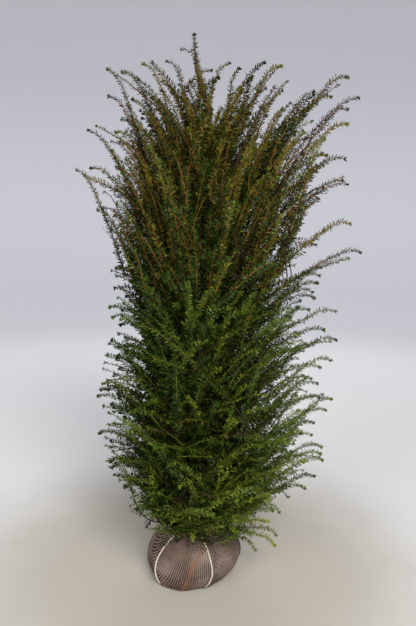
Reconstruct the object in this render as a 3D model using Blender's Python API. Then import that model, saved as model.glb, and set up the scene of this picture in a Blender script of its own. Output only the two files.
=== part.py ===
"""English yew (a columnar nursery conifer) standing on its netted root ball.

Metres, +Z up. The origin is the centre of the ball's flat underside. +X is the
side with the longer, feathery shoots, -Y is the front.

The plant is built as it grows: a root ball with its tie cord, one slightly
S-bent trunk that runs up to the leader, boughs that climb from the upper trunk,
and masses of foliage in tiers. Every mass follows its own line, which starts at
the trunk and arches out to a pointed tip. Its girth grows from that line until
it meets the half-way surface to a neighbour, the trunk, the ball or the free
space round a bough, so the masses are cut round each other and round the wood.
"""

import math

import bmesh
import bpy
import numpy as np

for old in list(bpy.data.objects):
    bpy.data.objects.remove(old, do_unlink=True)

# ---------------------------------------------------------------- root ball
BALL_RX, BALL_RY = 0.218, 0.236     # half widths at the equator
BALL_EQUATOR = 0.106                # height of the widest ring
BALL_RISE = 0.178                   # equator up to the crown of the ball
BALL_SAG = 0.192                    # lower half axis, cut off by the ground
BALL_SEAT_R = 0.062                 # flat seat for the root flare
BALL_SEGMENTS = 32
BALL_LEVELS = 11

# ---------------------------------------------------------------- tie cord
CORD_R = 0.0034
COLLAR_R = 0.056                    # ring of cord round the root flare
# azimuth of each strand at the collar, half way down and at the foot, in degrees
STRANDS = ((242.0, 222.5, 226.0), (277.0, 290.5, 285.5), (36.0, 25.0, 31.0), (126.0, 143.0, 137.0))

# ---------------------------------------------------------------- trunk
GROUND_Z = BALL_EQUATOR + BALL_RISE * math.sqrt(1 - (BALL_SEAT_R / BALL_RX) ** 2)
TRUNK_FOOT_Z = GROUND_Z + 0.0006
TRUNK_TIP_Z = 2.466
TRUNK_BASE_R, TRUNK_TIP_R = 0.0235, 0.0022
FLARE_R, FLARE_DROP = 0.016, 0.030
# sideways course of the stem: height, x, y
TRUNK_LINE = (
    (0.28, 0.000, 0.000), (0.60, 0.022, 0.006), (0.95, 0.052, 0.010),
    (1.30, 0.078, 0.006), (1.60, 0.090, 0.000), (1.80, 0.083, -0.004),
    (2.00, 0.062, -0.004), (2.15, 0.026, 0.000), (2.33, -0.018, 0.004),
    (2.47, -0.034, 0.006),
)

# ---------------------------------------------------------------- crown
# reach of the shoot tips from the plant's axis on each side: height, reach
REACH_RIGHT = ((0.10, 0.385), (0.30, 0.44), (0.50, 0.575), (0.85, 0.625), (1.20, 0.640),
               (1.56, 0.722), (1.90, 0.655), (2.22, 0.676), (2.30, 0.640), (2.36, 0.350))
REACH_LEFT = ((0.10, 0.225), (0.30, 0.27), (0.50, 0.415), (0.85, 0.465), (1.10, 0.400),
              (1.40, 0.415), (1.70, 0.470), (1.92, 0.545), (2.08, 0.495), (2.33, 0.400), (2.40, 0.200))
REACH_FRONT = ((0.10, 0.300), (0.30, 0.34), (0.55, 0.440), (0.90, 0.470), (1.30, 0.450),
               (1.70, 0.450), (2.00, 0.470), (2.25, 0.400), (2.36, 0.220))
REACH_BACK = ((0.10, 0.290), (0.30, 0.33), (0.55, 0.410), (0.90, 0.430), (1.30, 0.410),
              (1.70, 0.410), (2.00, 0.430), (2.25, 0.380), (2.36, 0.220))

# directions of the masses of a tier, in degrees from +X, staggered from tier to tier
ODD = (-3, 50, 128, 184, 268)
EVEN = (4, 90, 176, 234, 306)
ROUND = (-4, 60, 122, 182, 230, 282)
# name, directions, foot on the trunk, tip height, drop of the tips on the left,
# girth, arch in degrees, where the mass begins, tip wander
TIERS = (
    ("skirt",    EVEN,  0.345, 0.185, 0.000, 0.105, 26.0, 0.13, 0.020),
    ("low",      ODD,   0.400, 0.570, 0.060, 0.200, 24.0, 0.12, 0.030),
    ("belly",    EVEN,  0.560, 0.870, 0.060, 0.210, 22.0, 0.12, 0.030),
    ("waist",    ODD,   0.840, 1.185, 0.060, 0.210, 22.0, 0.12, 0.030),
    ("middle",   EVEN,  1.080, 1.565, 0.110, 0.200, 22.0, 0.12, 0.030),
    ("shoulder", ROUND, 1.330, 1.900, 0.000, 0.180, 24.0, 0.12, 0.025),
    ("fan",      (0, 62, 122, 178, 250, 306), 1.600, 2.285, 0.190, 0.120, 20.0, 0.34, 0.020),
)
# share of a mass's length at which it starts to narrow
BLUNT = {"skirt": 0.44, "low": 0.54, "belly": 0.52, "waist": 0.50, "middle": 0.44,
         "shoulder": 0.46, "fan": 0.42, "spire": 0.40}
# upright plumes round the leader: direction, reach, tip height
SPIRES = ((172, 0.400, 2.330), (216, 0.270, 2.350), (262, 0.190, 2.330),
          (-14, 0.345, 2.352), (40, 0.285, 2.362), (98, 0.240, 2.335))
SPIRE_FOOT, SPIRE_GIRTH, SPIRE_ARCH, SPIRE_BEGIN = 1.840, 0.078, 16.0, 0.44
BOUGH_TIERS = ("fan", "spire")      # tiers whose boughs can be seen between the plumes
BOUGH_R0, BOUGH_R1 = 0.0085, 0.0050
LEADER_FOOT_Z, LEADER_TOP_Z = 2.03, 2.448
LEADER_GIRTH = 0.047

CLEAR = 0.009                       # free space between two masses
RINGS = 8
SIDES = 9
SPINE_POINTS = 25


# ---------------------------------------------------------------- small helpers
def course(table, z):
    """Smooth interpolation of the columns of a table by its first column."""
    rows = np.array(table, float)
    z = np.clip(np.asarray(z, float), rows[0, 0], rows[-1, 0])
    k = np.clip(np.searchsorted(rows[:, 0], z) - 1, 0, len(rows) - 2)
    h = rows[k + 1, 0] - rows[k, 0]
    u = (z - rows[k, 0]) / h
    slope = np.gradient(rows[:, 1:], rows[:, 0], axis=0)
    u, h = u[..., None], h[..., None]
    a, b, ma, mb = rows[k, 1:], rows[k + 1, 1:], slope[k], slope[k + 1]
    return ((2 * u**3 - 3 * u**2 + 1) * a + (u**3 - 2 * u**2 + u) * h * ma
            + (3 * u**2 - 2 * u**3) * b + (u**3 - u**2) * h * mb)


def trunk_axis(z):
    xy = course(TRUNK_LINE, z)
    return np.concatenate([xy, np.asarray(z, float)[..., None]], axis=-1)


def trunk_radius(z):
    z = np.asarray(z, float)
    up = np.clip((z - GROUND_Z) / (TRUNK_TIP_Z - GROUND_Z), 0, 1)
    return (TRUNK_BASE_R + (TRUNK_TIP_R - TRUNK_BASE_R) * up**0.92
            + FLARE_R * np.exp(-np.clip(z - GROUND_Z, 0, None) / FLARE_DROP))


def reach(azimuth, z):
    """How far from the axis the tips stand in this direction at this height."""
    c, s = math.cos(azimuth), math.sin(azimuth)
    across = float(course(REACH_RIGHT if c > 0 else REACH_LEFT, z)[0])
    along = float(course(REACH_BACK if s > 0 else REACH_FRONT, z)[0])
    power = 2.5
    return (abs(c / across) ** power + abs(s / along) ** power) ** (-1 / power)


def ball_radius(azimuth, z):
    """Distance of the ball's wall from its axis at a height."""
    below = z < BALL_EQUATOR
    half = np.where(below, BALL_SAG, BALL_RISE)
    share = np.sqrt(np.clip(1 - ((z - BALL_EQUATOR) / half) ** 2, 0, 1))
    c, s = np.cos(azimuth), np.sin(azimuth)
    flat = BALL_RX * BALL_RY / np.sqrt((BALL_RY * c) ** 2 + (BALL_RX * s) ** 2)
    lump = (1 + 0.016 * np.sin(2 * azimuth + 0.6) + 0.012 * np.sin(3 * azimuth + 2.1 + 9 * z)
            + 0.008 * np.sin(5 * azimuth - 14 * z))
    lean = 1 - 0.154 * np.clip(np.cos(azimuth + 0.46), 0, 1) * np.clip(1 - z / 0.10, 0, 1)
    settled = 1 + 0.076 * np.clip(np.cos(azimuth - 3.95), 0, 1) ** 2 * np.clip(1 - z / 0.175, 0, 1)
    return flat * share * lump * lean * settled


def material(name, colour, roughness):
    m = bpy.data.materials.new(name)
    m.use_nodes = True
    shader = m.node_tree.nodes["Principled BSDF"]
    shader.inputs["Base Color"].default_value = (*colour, 1)
    shader.inputs["Roughness"].default_value = roughness
    shader.inputs["Metallic"].default_value = 0.0
    m.diffuse_color = (*colour, 1)
    return m


def loft(name, rings, finish, first=None, last=None, loop=False, smooth=True):
    """Skin over equal rings of points. first and last close the ends at a point,
    or as a flat face where they are None. loop joins the last ring to the first."""
    bm = bmesh.new()
    rows = [[bm.verts.new(p) for p in ring] for ring in rings]
    n = len(rows[0])
    pairs = list(zip(rows, rows[1:])) + ([(rows[-1], rows[0])] if loop else [])
    for a, b in pairs:
        for i in range(n):
            j = (i + 1) % n
            bm.faces.new((a[i], a[j], b[j], b[i]))
    if not loop:
        for row, tip in ((rows[0], first), (rows[-1], last)):
            if tip is None:
                bm.faces.new(row)
            else:
                v = bm.verts.new(tip)
                for i in range(n):
                    bm.faces.new((row[i], row[(i + 1) % n], v))
    bmesh.ops.recalc_face_normals(bm, faces=bm.faces)
    mesh = bpy.data.meshes.new(name)
    bm.to_mesh(mesh)
    bm.free()
    if smooth:
        mesh.shade_smooth()
        mesh.set_sharp_from_angle(angle=math.radians(50))
    mesh.materials.append(finish)
    made = bpy.data.objects.new(name, mesh)
    bpy.context.scene.collection.objects.link(made)
    return made


def frames(line):
    """Unit tangents and two unit normals along a line, carried without twist."""
    line = np.asarray(line, float)
    tangent = np.gradient(line, axis=0)
    tangent /= np.linalg.norm(tangent, axis=1)[:, None]
    side = np.cross(tangent[0], (0, 0, 1.0))
    if np.linalg.norm(side) < 1e-3:
        side = np.array([1.0, 0, 0])
    sides = []
    for t in tangent:
        side = side - t * (side @ t)
        side = side / np.linalg.norm(side)
        sides.append(side)
    sides = np.array(sides)
    return tangent, sides, np.cross(sides, tangent)


def tube(name, line, radii, sides, finish):
    line = np.asarray(line, float)
    _, a, b = frames(line)
    turn = np.linspace(0, 2 * math.pi, sides, endpoint=False)
    ring = (line[:, None] + np.asarray(radii, float)[:, None, None]
            * (np.cos(turn)[None, :, None] * a[:, None] + np.sin(turn)[None, :, None] * b[:, None]))
    return loft(name, ring, finish)


# ---------------------------------------------------------------- finishes
NET = material("netting_over_soil", (0.165, 0.125, 0.105), 0.9)
CORD = material("tie_cord", (0.78, 0.72, 0.60), 0.75)
BARK = material("yew_bark", (0.150, 0.070, 0.042), 0.85)
NEEDLE = {
    "skirt": material("foliage_low", (0.030, 0.070, 0.016), 0.6),
    "low": bpy.data.materials["foliage_low"],
    "belly": bpy.data.materials["foliage_low"],
    "waist": material("foliage_middle", (0.036, 0.078, 0.016), 0.6),
    "middle": bpy.data.materials["foliage_middle"],
    "shoulder": material("foliage_top", (0.068, 0.075, 0.016), 0.6),
    "fan": bpy.data.materials["foliage_top"],
    "spire": bpy.data.materials["foliage_top"],
}


# ---------------------------------------------------------------- root ball
def build_ball():
    turn = np.linspace(0, 2 * math.pi, BALL_SEGMENTS, endpoint=False)
    # the rings crowd where the wall turns in towards the ground and the seat
    share = (1 - np.cos(np.linspace(0.0, math.pi, BALL_LEVELS))) / 2
    heights = GROUND_Z * share
    rings = []
    for z in heights:
        r = ball_radius(turn, np.full_like(turn, z))
        if z == 0:
            r = r - 0.010
        if z == heights[-1]:
            r = np.full_like(turn, BALL_SEAT_R)
        rings.append(np.stack([r * np.cos(turn), r * np.sin(turn), np.full_like(turn, z)], axis=1))
    # a short soft edge above the flat underside
    z = 0.006
    r = ball_radius(turn, np.full_like(turn, z)) - 0.003
    rings.insert(1, np.stack([r * np.cos(turn), r * np.sin(turn), np.full_like(turn, z)], axis=1))
    return loft("root_ball", rings, NET)


def strand_line(start, middle, end):
    """A strand lies on the ball from the collar down to the ground."""
    z = np.concatenate([[GROUND_Z + 0.0065], GROUND_Z - 0.004 - (GROUND_Z - 0.022) * (
        1 - np.cos(np.linspace(0.35, math.pi * 0.92, 12))) / 2])
    u = np.linspace(0, 1, len(z))
    azimuth = np.radians(start * (1 - u) * (1 - 2 * u) + middle * 4 * u * (1 - u) + end * u * (2 * u - 1))
    r = ball_radius(azimuth, np.clip(z, 0, GROUND_Z - 1e-4))
    r[0] = COLLAR_R
    out = np.stack([r * np.cos(azimuth), r * np.sin(azimuth), z], axis=1)
    slope = np.gradient(np.stack([r, z], axis=1), axis=0)
    normal = np.stack([-slope[:, 1], slope[:, 0]], axis=1)
    normal /= np.linalg.norm(normal, axis=1)[:, None]
    lift = np.full(len(z), CORD_R + 0.0011)
    lift[0] = 0
    out[:, 0] += lift * normal[:, 0] * np.cos(azimuth)
    out[:, 1] += lift * normal[:, 0] * np.sin(azimuth)
    out[:, 2] += lift * normal[:, 1]
    return out


def build_cord():
    turn = np.linspace(0, 2 * math.pi, 20, endpoint=False)
    small = np.linspace(0, 2 * math.pi, 6, endpoint=False)
    rings = []
    for t in turn:
        r = COLLAR_R + 1.15 * CORD_R * np.cos(small)
        rings.append(np.stack([r * np.cos(t), r * np.sin(t),
                               GROUND_Z + 0.0062 + 1.15 * CORD_R * np.sin(small)], axis=1))
    collar = loft("tie_cord", rings, CORD, loop=True)
    for k, course_of_strand in enumerate(STRANDS):
        line = strand_line(*course_of_strand)
        piece = tube(f"strand_{k + 1}", line, np.full(len(line), CORD_R), 6, CORD)
        piece.hide_render = True
        piece.display_type = "WIRE"
        join = collar.modifiers.new(f"join_{k + 1}", "BOOLEAN")
        join.operation = "UNION"
        join.solver = "EXACT"
        join.object = piece
    return collar


# ---------------------------------------------------------------- trunk
def build_trunk():
    foot = GROUND_Z + FLARE_DROP * np.array([0.02, 0.5, 1.1, 2.0, 3.4])
    foot[0] = TRUNK_FOOT_Z
    z = np.concatenate([foot, np.linspace(0.45, TRUNK_TIP_Z, 19)])
    axis = trunk_axis(z)
    tangent, a, b = frames(axis)
    turn = np.linspace(0, 2 * math.pi, 10, endpoint=False)
    rings = []
    for k in range(len(z)):
        flare = math.exp(-(z[k] - GROUND_Z) / FLARE_DROP)
        r = trunk_radius(z[k]) * (1 + 0.13 * flare * np.cos(5 * turn + 0.8))
        if k == 0:      # the flat cut lies level
            ring = np.stack([axis[k, 0] + r * np.cos(turn), axis[k, 1] + r * np.sin(turn),
                             np.full_like(turn, z[k])], axis=1)
            a0 = turn
        else:
            east = np.array([1.0, 0, 0]) - tangent[k] * tangent[k][0]
            east /= np.linalg.norm(east)
            north = np.cross(tangent[k], east)
            ring = axis[k] + r[:, None] * (np.cos(a0)[:, None] * east + np.sin(a0)[:, None] * north)
        rings.append(ring)
    return loft("trunk", rings, BARK)


# ---------------------------------------------------------------- lines of the crown
def spine(azimuth, foot_z, tip_z, tip_reach, arch):
    """From the trunk's axis, out and up, arching over to the tip."""
    start = trunk_axis(foot_z)
    tip = np.array([tip_reach * math.cos(azimuth), tip_reach * math.sin(azimuth), tip_z])
    way = tip - start
    flat = math.hypot(way[0], way[1])
    out = np.array([way[0] / flat, way[1] / flat, 0])
    chord = math.atan2(way[2], flat)
    rise = min(chord + math.radians(arch), math.radians(84))
    drop = chord - math.radians(arch * 1.15)
    length = np.linalg.norm(way)
    p1 = start + length * 0.36 * (out * math.cos(rise) + np.array([0, 0, math.sin(rise)]))
    p2 = tip - length * 0.34 * (out * math.cos(drop) + np.array([0, 0, math.sin(drop)]))
    u = np.linspace(0, 1, SPINE_POINTS)[:, None]
    return (1 - u) ** 3 * start + 3 * (1 - u) ** 2 * u * p1 + 3 * (1 - u) * u**2 * p2 + u**3 * tip


def crown_plan():
    """Every mass's name, tier, line, girth and beginning."""
    plan = []
    for tier, (name, ways, foot, tip, drop, girth, arch, begin, wander) in enumerate(TIERS):
        for k, way in enumerate(ways):
            azimuth = math.radians(way)
            tip_z = tip + wander * math.sin(1.9 * k + 1.3 * tier) - drop * (1 - math.cos(azimuth)) / 2
            spread = 0.075 if name in BOUGH_TIERS else 0.012
            foot_z = foot + spread * (((k * 2) % len(ways)) / (len(ways) - 1) * 2 - 1)
            far = reach(azimuth, tip_z)
            plan.append({"name": f"{name}_{k + 1}", "tier": name, "seed": 7 * tier + k, "girth": girth,
                         "begin": begin, "line": spine(azimuth, foot_z, tip_z, far, arch),
                         "foot_z": foot_z, "azimuth": azimuth})
    for k, (way, far, tip_z) in enumerate(SPIRES):
        azimuth = math.radians(way)
        foot_z = SPIRE_FOOT + 0.020 * ((k * 3) % 7 - 3)
        plan.append({"name": f"spire_{k + 1}", "tier": "spire", "seed": 60 + k, "girth": SPIRE_GIRTH,
                     "begin": SPIRE_BEGIN, "line": spine(azimuth, foot_z, tip_z, far, SPIRE_ARCH),
                     "foot_z": foot_z, "azimuth": azimuth})
    return plan


def leader_girth(z):
    """Girth of the sleeve of needles round the leader."""
    v = np.clip((np.asarray(z, float) - LEADER_FOOT_Z) / (LEADER_TOP_Z - LEADER_FOOT_Z), 0, 1)
    return LEADER_GIRTH * (0.55 + 0.45 * np.sin(np.clip(v / 0.35, 0, 1) * math.pi / 2)) * (1 - 0.62 * v**1.4)


def nearest(points, line):
    """Distance from each point to a line of short straight pieces."""
    a, b = line[:-1], line[1:]
    d = b - a
    best = np.full(len(points), 1e9)
    for p0, v in zip(a, d):
        w = points - p0
        t = np.clip(w @ v / (v @ v), 0, 1)
        best = np.minimum(best, np.linalg.norm(w - t[:, None] * v, axis=1))
    return best


def girth_at(u, begin, blunt):
    """Share of the full girth along the line: blunt foot, full body, drawn-out tip."""
    v = np.clip((u - begin) / (1 - begin), 0, 1)
    grow = np.clip(v / 0.30, 0, 1)
    fade = np.clip((v - blunt) / (1 - blunt), 0, 1)
    return (0.42 + 0.58 * np.sin(grow * math.pi / 2)) * (1 - fade ** (1.0 + blunt)) ** (1.25 - 0.5 * blunt) + 0.08 * fade


def free(points, own, others):
    """True where a point is nearer its own line than any other, and clear of wood, ball and ground."""
    x, y, z = points.T
    ok = z > 0.030
    axis = trunk_axis(np.clip(z, 0.28, 2.466))
    gap = np.hypot(x - axis[:, 0], y - axis[:, 1])
    ok &= gap > trunk_radius(z) + 0.011
    half = np.where(z < BALL_EQUATOR, BALL_SAG, BALL_RISE)
    ok &= np.sqrt((x / (BALL_RX * 1.03)) ** 2 + (y / (BALL_RY * 1.03)) ** 2 + ((z - BALL_EQUATOR) / half) ** 2) > 1.075
    mine = nearest(points, own)
    for line in others:
        ok &= nearest(points, line) > mine + CLEAR
    beside = (z > LEADER_FOOT_Z - 0.03) & (z < LEADER_TOP_Z + 0.02)
    ok &= ~beside | (gap > 1.30 * leader_girth(z) + 0.004)
    return ok, mine


def build_mass(one, plan):
    line, begin = one["line"], one["begin"]
    u = np.linspace(0, 1, len(line))
    stops = begin + (1 - begin) * np.array([0.0, 0.10, 0.24, 0.40, 0.56, 0.71, 0.84, 0.94])[:RINGS]
    at = np.stack([np.interp(stops, u, line[:, k]) for k in range(3)], axis=1)
    tangent, side, up = frames(line)
    tan = np.stack([np.interp(stops, u, tangent[:, k]) for k in range(3)], axis=1)
    tan /= np.linalg.norm(tan, axis=1)[:, None]
    near = [o for o in plan if o is not one
            and np.min(np.linalg.norm(o["line"][:, None] - line[None], axis=2)) < 2 * one["girth"] + 0.1]
    others = [o["line"] for o in near]
    turn = np.linspace(0, 2 * math.pi, SIDES, endpoint=False)
    rings = []
    seed = one["seed"]
    for k, (stop, centre, t) in enumerate(zip(stops, at, tan)):
        a = np.cross(t, (0, 0, 1.0))
        a /= np.linalg.norm(a)
        b = np.cross(a, t)
        turn_k = turn + 0.35 * k
        ways = np.cos(turn_k)[:, None] * a + np.sin(turn_k)[:, None] * b
        uneven = (1 + 0.13 * np.sin(2 * turn_k + 1.7 * seed + 2.0 * k) + 0.10 * np.sin(3 * turn_k - 2.3 * seed + 1.1 * k)
                  + 0.07 * math.sin(2.6 * k + seed))
        want = one["girth"] * float(girth_at(np.array(stop), begin, BLUNT[one["tier"]])) * uneven
        steps = np.linspace(0.06, 1, 36)
        points = centre + (want[:, None] * steps)[..., None] * ways[:, None]
        ok, mine = free(points.reshape(-1, 3), line, others)
        far = (want[:, None] * steps).reshape(-1)
        ok &= mine > 0.72 * far
        good = np.cumprod(ok.reshape(SIDES, -1), axis=1).sum(axis=1)
        reached = np.where(good > 0, steps[np.maximum(good - 1, 0)], 0.0) * want
        reached = np.maximum(reached, 0.004)
        rings.append(centre + reached[:, None] * ways)
    return loft(one["name"], rings, NEEDLE[one["tier"]], first=at[0], last=line[-1])


def bough_line(one):
    """From the bark of the trunk in an easy curve to the foot of the mass."""
    line, begin = one["line"], one["begin"]
    u = np.linspace(0, 1, len(line))
    out = np.array([math.cos(one["azimuth"]), math.sin(one["azimuth"]), 0.0])
    start = trunk_axis(one["foot_z"]) + out * (float(trunk_radius(one["foot_z"])) + 0.0012)
    joint = 0.55 * begin
    fine = np.linspace(joint, begin - 0.0010 / np.linalg.norm(np.diff(line, axis=0), axis=1).sum(), 5)
    tail = np.stack([np.interp(fine, u, line[:, k]) for k in range(3)], axis=1)
    tail[:, :2] += out[:2] * 0.010 * (1 - (fine - joint) / (begin - joint))[:, None]
    away = (tail[1] - tail[0]) / np.linalg.norm(tail[1] - tail[0])
    length = np.linalg.norm(tail[0] - start)
    p1 = start + 0.40 * length * (out * math.cos(0.65) + np.array([0, 0, math.sin(0.65)]))
    p2 = tail[0] - 0.40 * length * away
    v = np.array([0.0, 0.10, 0.30, 0.60])[:, None]
    head = (1 - v) ** 3 * start + 3 * (1 - v) ** 2 * v * p1 + 3 * (1 - v) * v**2 * p2 + v**3 * tail[0]
    return np.concatenate([head, tail]), out


def build_bough(one):
    """One tapering limb from the trunk's bark to the foot of its mass."""
    at, out = bough_line(one)
    run = np.concatenate([[0], np.cumsum(np.linalg.norm(np.diff(at, axis=0), axis=1))])
    radii = BOUGH_R0 + (BOUGH_R1 - BOUGH_R0) * run / run[-1]
    if one["tier"] == "spire":
        radii = radii * 0.62
    radii[0] *= 1.12
    tangent, _, _ = frames(at)
    tangent[0] = out
    turn = np.linspace(0, 2 * math.pi, 6, endpoint=False)
    across = np.cross(out, (0, 0, 1.0))
    rings = []
    for p, t, r in zip(at, tangent, radii):
        a = across - t * (across @ t)
        a /= np.linalg.norm(a)
        b = np.cross(a, t)
        rings.append(p + r * (np.cos(turn)[:, None] * a + np.sin(turn)[:, None] * b))
    return loft("bough_" + one["name"], rings, BARK)


def build_leader():
    """The top plume, a sleeve of needles cut round the trunk's thin leader."""
    z = np.linspace(LEADER_FOOT_Z, LEADER_TOP_Z, 9)
    full = leader_girth(z)
    axis = trunk_axis(z)
    turn = np.linspace(0, 2 * math.pi, SIDES, endpoint=False)
    outer, inner = [], []
    for k in range(len(z)):
        uneven = 1 + 0.14 * np.sin(2 * turn + 1.3 * k) + 0.12 * math.sin(2.9 * k)
        r = full[k] * uneven
        outer.append(np.stack([axis[k, 0] + r * np.cos(turn), axis[k, 1] + r * np.sin(turn),
                               np.full_like(turn, z[k])], axis=1))
        r = float(trunk_radius(z[k])) * 1.08 + 0.0022
        inner.append(np.stack([axis[k, 0] + r * np.cos(turn), axis[k, 1] + r * np.sin(turn),
                               np.full_like(turn, z[k])], axis=1))
    return loft("leader_plume", outer + inner[::-1], NEEDLE["spire"], loop=True)


build_ball()
build_cord()
build_trunk()
PLAN = crown_plan()
for one in PLAN:
    build_mass(one, PLAN)
for one in PLAN:
    if one["tier"] in BOUGH_TIERS:
        build_bough(one)
build_leader()
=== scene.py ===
"""The looks of the english yew: netted root ball, tie cord, bark, and a crown of
shoots and needles grown from the limbs by a seeded branching rule.

Metres, +Z up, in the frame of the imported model. -Y is the front.
"""

import math

import bpy
import numpy as np
from mathutils import Matrix, Vector


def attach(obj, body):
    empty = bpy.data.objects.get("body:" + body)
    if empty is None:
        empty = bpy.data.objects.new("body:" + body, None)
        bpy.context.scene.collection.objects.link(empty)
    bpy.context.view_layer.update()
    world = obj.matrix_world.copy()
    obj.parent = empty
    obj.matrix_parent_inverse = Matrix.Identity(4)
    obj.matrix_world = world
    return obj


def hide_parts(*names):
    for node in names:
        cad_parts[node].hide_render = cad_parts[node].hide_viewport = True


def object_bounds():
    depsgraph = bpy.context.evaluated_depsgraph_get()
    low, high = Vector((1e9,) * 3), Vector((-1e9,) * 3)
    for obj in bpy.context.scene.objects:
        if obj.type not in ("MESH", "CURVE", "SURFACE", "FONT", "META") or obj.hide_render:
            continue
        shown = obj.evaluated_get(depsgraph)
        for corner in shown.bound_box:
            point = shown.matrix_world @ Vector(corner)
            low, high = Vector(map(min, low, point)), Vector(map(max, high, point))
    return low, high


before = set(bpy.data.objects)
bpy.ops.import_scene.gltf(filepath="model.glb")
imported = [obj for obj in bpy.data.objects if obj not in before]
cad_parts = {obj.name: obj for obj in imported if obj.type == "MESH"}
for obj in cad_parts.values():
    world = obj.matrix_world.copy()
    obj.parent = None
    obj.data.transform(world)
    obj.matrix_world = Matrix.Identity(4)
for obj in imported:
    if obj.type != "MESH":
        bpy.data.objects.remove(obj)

CAD_BOX = [list(corner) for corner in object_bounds()]
RNG = np.random.default_rng(4107)
TAU = 2 * math.pi
UP = np.array([0.0, 0.0, 1.0])

# ---------------------------------------------------------------- camera
CAM_AT = np.array([0.044, -2.93, 1.825])
CAM_PITCH, CAM_ROLL = math.radians(10.6), math.radians(0.92)
CAM_LENS = 37.55

# ---------------------------------------------------------------- sizes shared with the solids
BALL_RX, BALL_RY = 0.218, 0.236
BALL_EQUATOR, BALL_RISE, BALL_SAG, BALL_SEAT_R = 0.106, 0.178, 0.192, 0.062
CORD_R, COLLAR_R = 0.0034, 0.056
RIB_GAP, RIB_TURN = 0.0125, math.radians(18)      # of the netting's ribs
STRANDS = ((242.0, 222.5, 226.0), (277.0, 290.5, 285.5), (36.0, 25.0, 31.0), (126.0, 143.0, 137.0))
GROUND_Z = BALL_EQUATOR + BALL_RISE * math.sqrt(1 - (BALL_SEAT_R / BALL_RX) ** 2)
TRUNK_TIP_Z = 2.466
TRUNK_BASE_R, TRUNK_TIP_R = 0.0235, 0.0022
FLARE_R, FLARE_DROP = 0.016, 0.030
TRUNK_LINE = (
    (0.28, 0.000, 0.000), (0.60, 0.022, 0.006), (0.95, 0.052, 0.010),
    (1.30, 0.078, 0.006), (1.60, 0.090, 0.000), (1.80, 0.083, -0.004),
    (2.00, 0.062, -0.004), (2.15, 0.026, 0.000), (2.33, -0.018, 0.004),
    (2.47, -0.034, 0.006),
)
REACH_RIGHT = ((0.10, 0.385), (0.30, 0.44), (0.50, 0.575), (0.85, 0.625), (1.20, 0.640),
               (1.56, 0.722), (1.90, 0.655), (2.22, 0.676), (2.30, 0.640), (2.36, 0.350))
REACH_LEFT = ((0.10, 0.225), (0.30, 0.27), (0.50, 0.415), (0.85, 0.465), (1.10, 0.400),
              (1.40, 0.415), (1.70, 0.470), (1.92, 0.545), (2.08, 0.495), (2.33, 0.400), (2.40, 0.200))
REACH_FRONT = ((0.10, 0.300), (0.30, 0.34), (0.55, 0.440), (0.90, 0.470), (1.30, 0.450),
               (1.70, 0.450), (2.00, 0.470), (2.25, 0.400), (2.36, 0.220))
REACH_BACK = ((0.10, 0.290), (0.30, 0.33), (0.55, 0.410), (0.90, 0.430), (1.30, 0.410),
              (1.70, 0.410), (2.00, 0.430), (2.25, 0.380), (2.36, 0.220))
ODD = (-3, 50, 128, 184, 268)
EVEN = (4, 90, 176, 234, 306)
ROUND = (-4, 60, 122, 182, 230, 282)
TIERS = (
    ("skirt",    EVEN,  0.345, 0.185, 0.000, 26.0, 0.020),
    ("low",      ODD,   0.400, 0.570, 0.060, 24.0, 0.030),
    ("belly",    EVEN,  0.560, 0.870, 0.060, 22.0, 0.030),
    ("waist",    ODD,   0.840, 1.185, 0.060, 22.0, 0.030),
    ("middle",   EVEN,  1.080, 1.565, 0.110, 22.0, 0.030),
    ("shoulder", ROUND, 1.330, 1.900, 0.000, 24.0, 0.025),
    ("fan",      (0, 62, 122, 178, 250, 306), 1.600, 2.285, 0.190, 20.0, 0.020),
)
SPIRES = ((172, 0.400, 2.330), (216, 0.270, 2.350), (262, 0.190, 2.330),
          (-14, 0.345, 2.352), (40, 0.285, 2.362), (98, 0.240, 2.335))
SPIRE_FOOT, SPIRE_ARCH = 1.840, 16.0

# ---------------------------------------------------------------- the crown's own sizes
# height, reach of the dense body on the right, left, front and back
BODY = (
    (0.12, 0.21, 0.16, 0.22, 0.22), (0.25, 0.28, 0.22, 0.27, 0.27), (0.36, 0.37, 0.29, 0.33, 0.31),
    (0.46, 0.44, 0.36, 0.37, 0.34), (0.66, 0.52, 0.415, 0.42, 0.38), (0.86, 0.53, 0.44, 0.43, 0.39),
    (1.06, 0.52, 0.415, 0.42, 0.38), (1.24, 0.49, 0.375, 0.41, 0.37), (1.43, 0.45, 0.355, 0.40, 0.37),
    (1.56, 0.44, 0.36, 0.40, 0.36), (1.70, 0.46, 0.39, 0.40, 0.36), (1.83, 0.52, 0.40, 0.41, 0.37),
    (1.96, 0.53, 0.39, 0.40, 0.36), (2.10, 0.50, 0.34, 0.36, 0.33), (2.24, 0.44, 0.26, 0.28, 0.26),
)
# steepness of the shoots by height, in degrees, before their tips bend over
STEEPNESS = ((0.20, -4.0), (0.32, 4.0), (0.46, 20.0), (0.65, 32.0), (1.00, 42.0), (1.40, 52.0), (1.80, 62.0), (2.20, 68.0))
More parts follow.
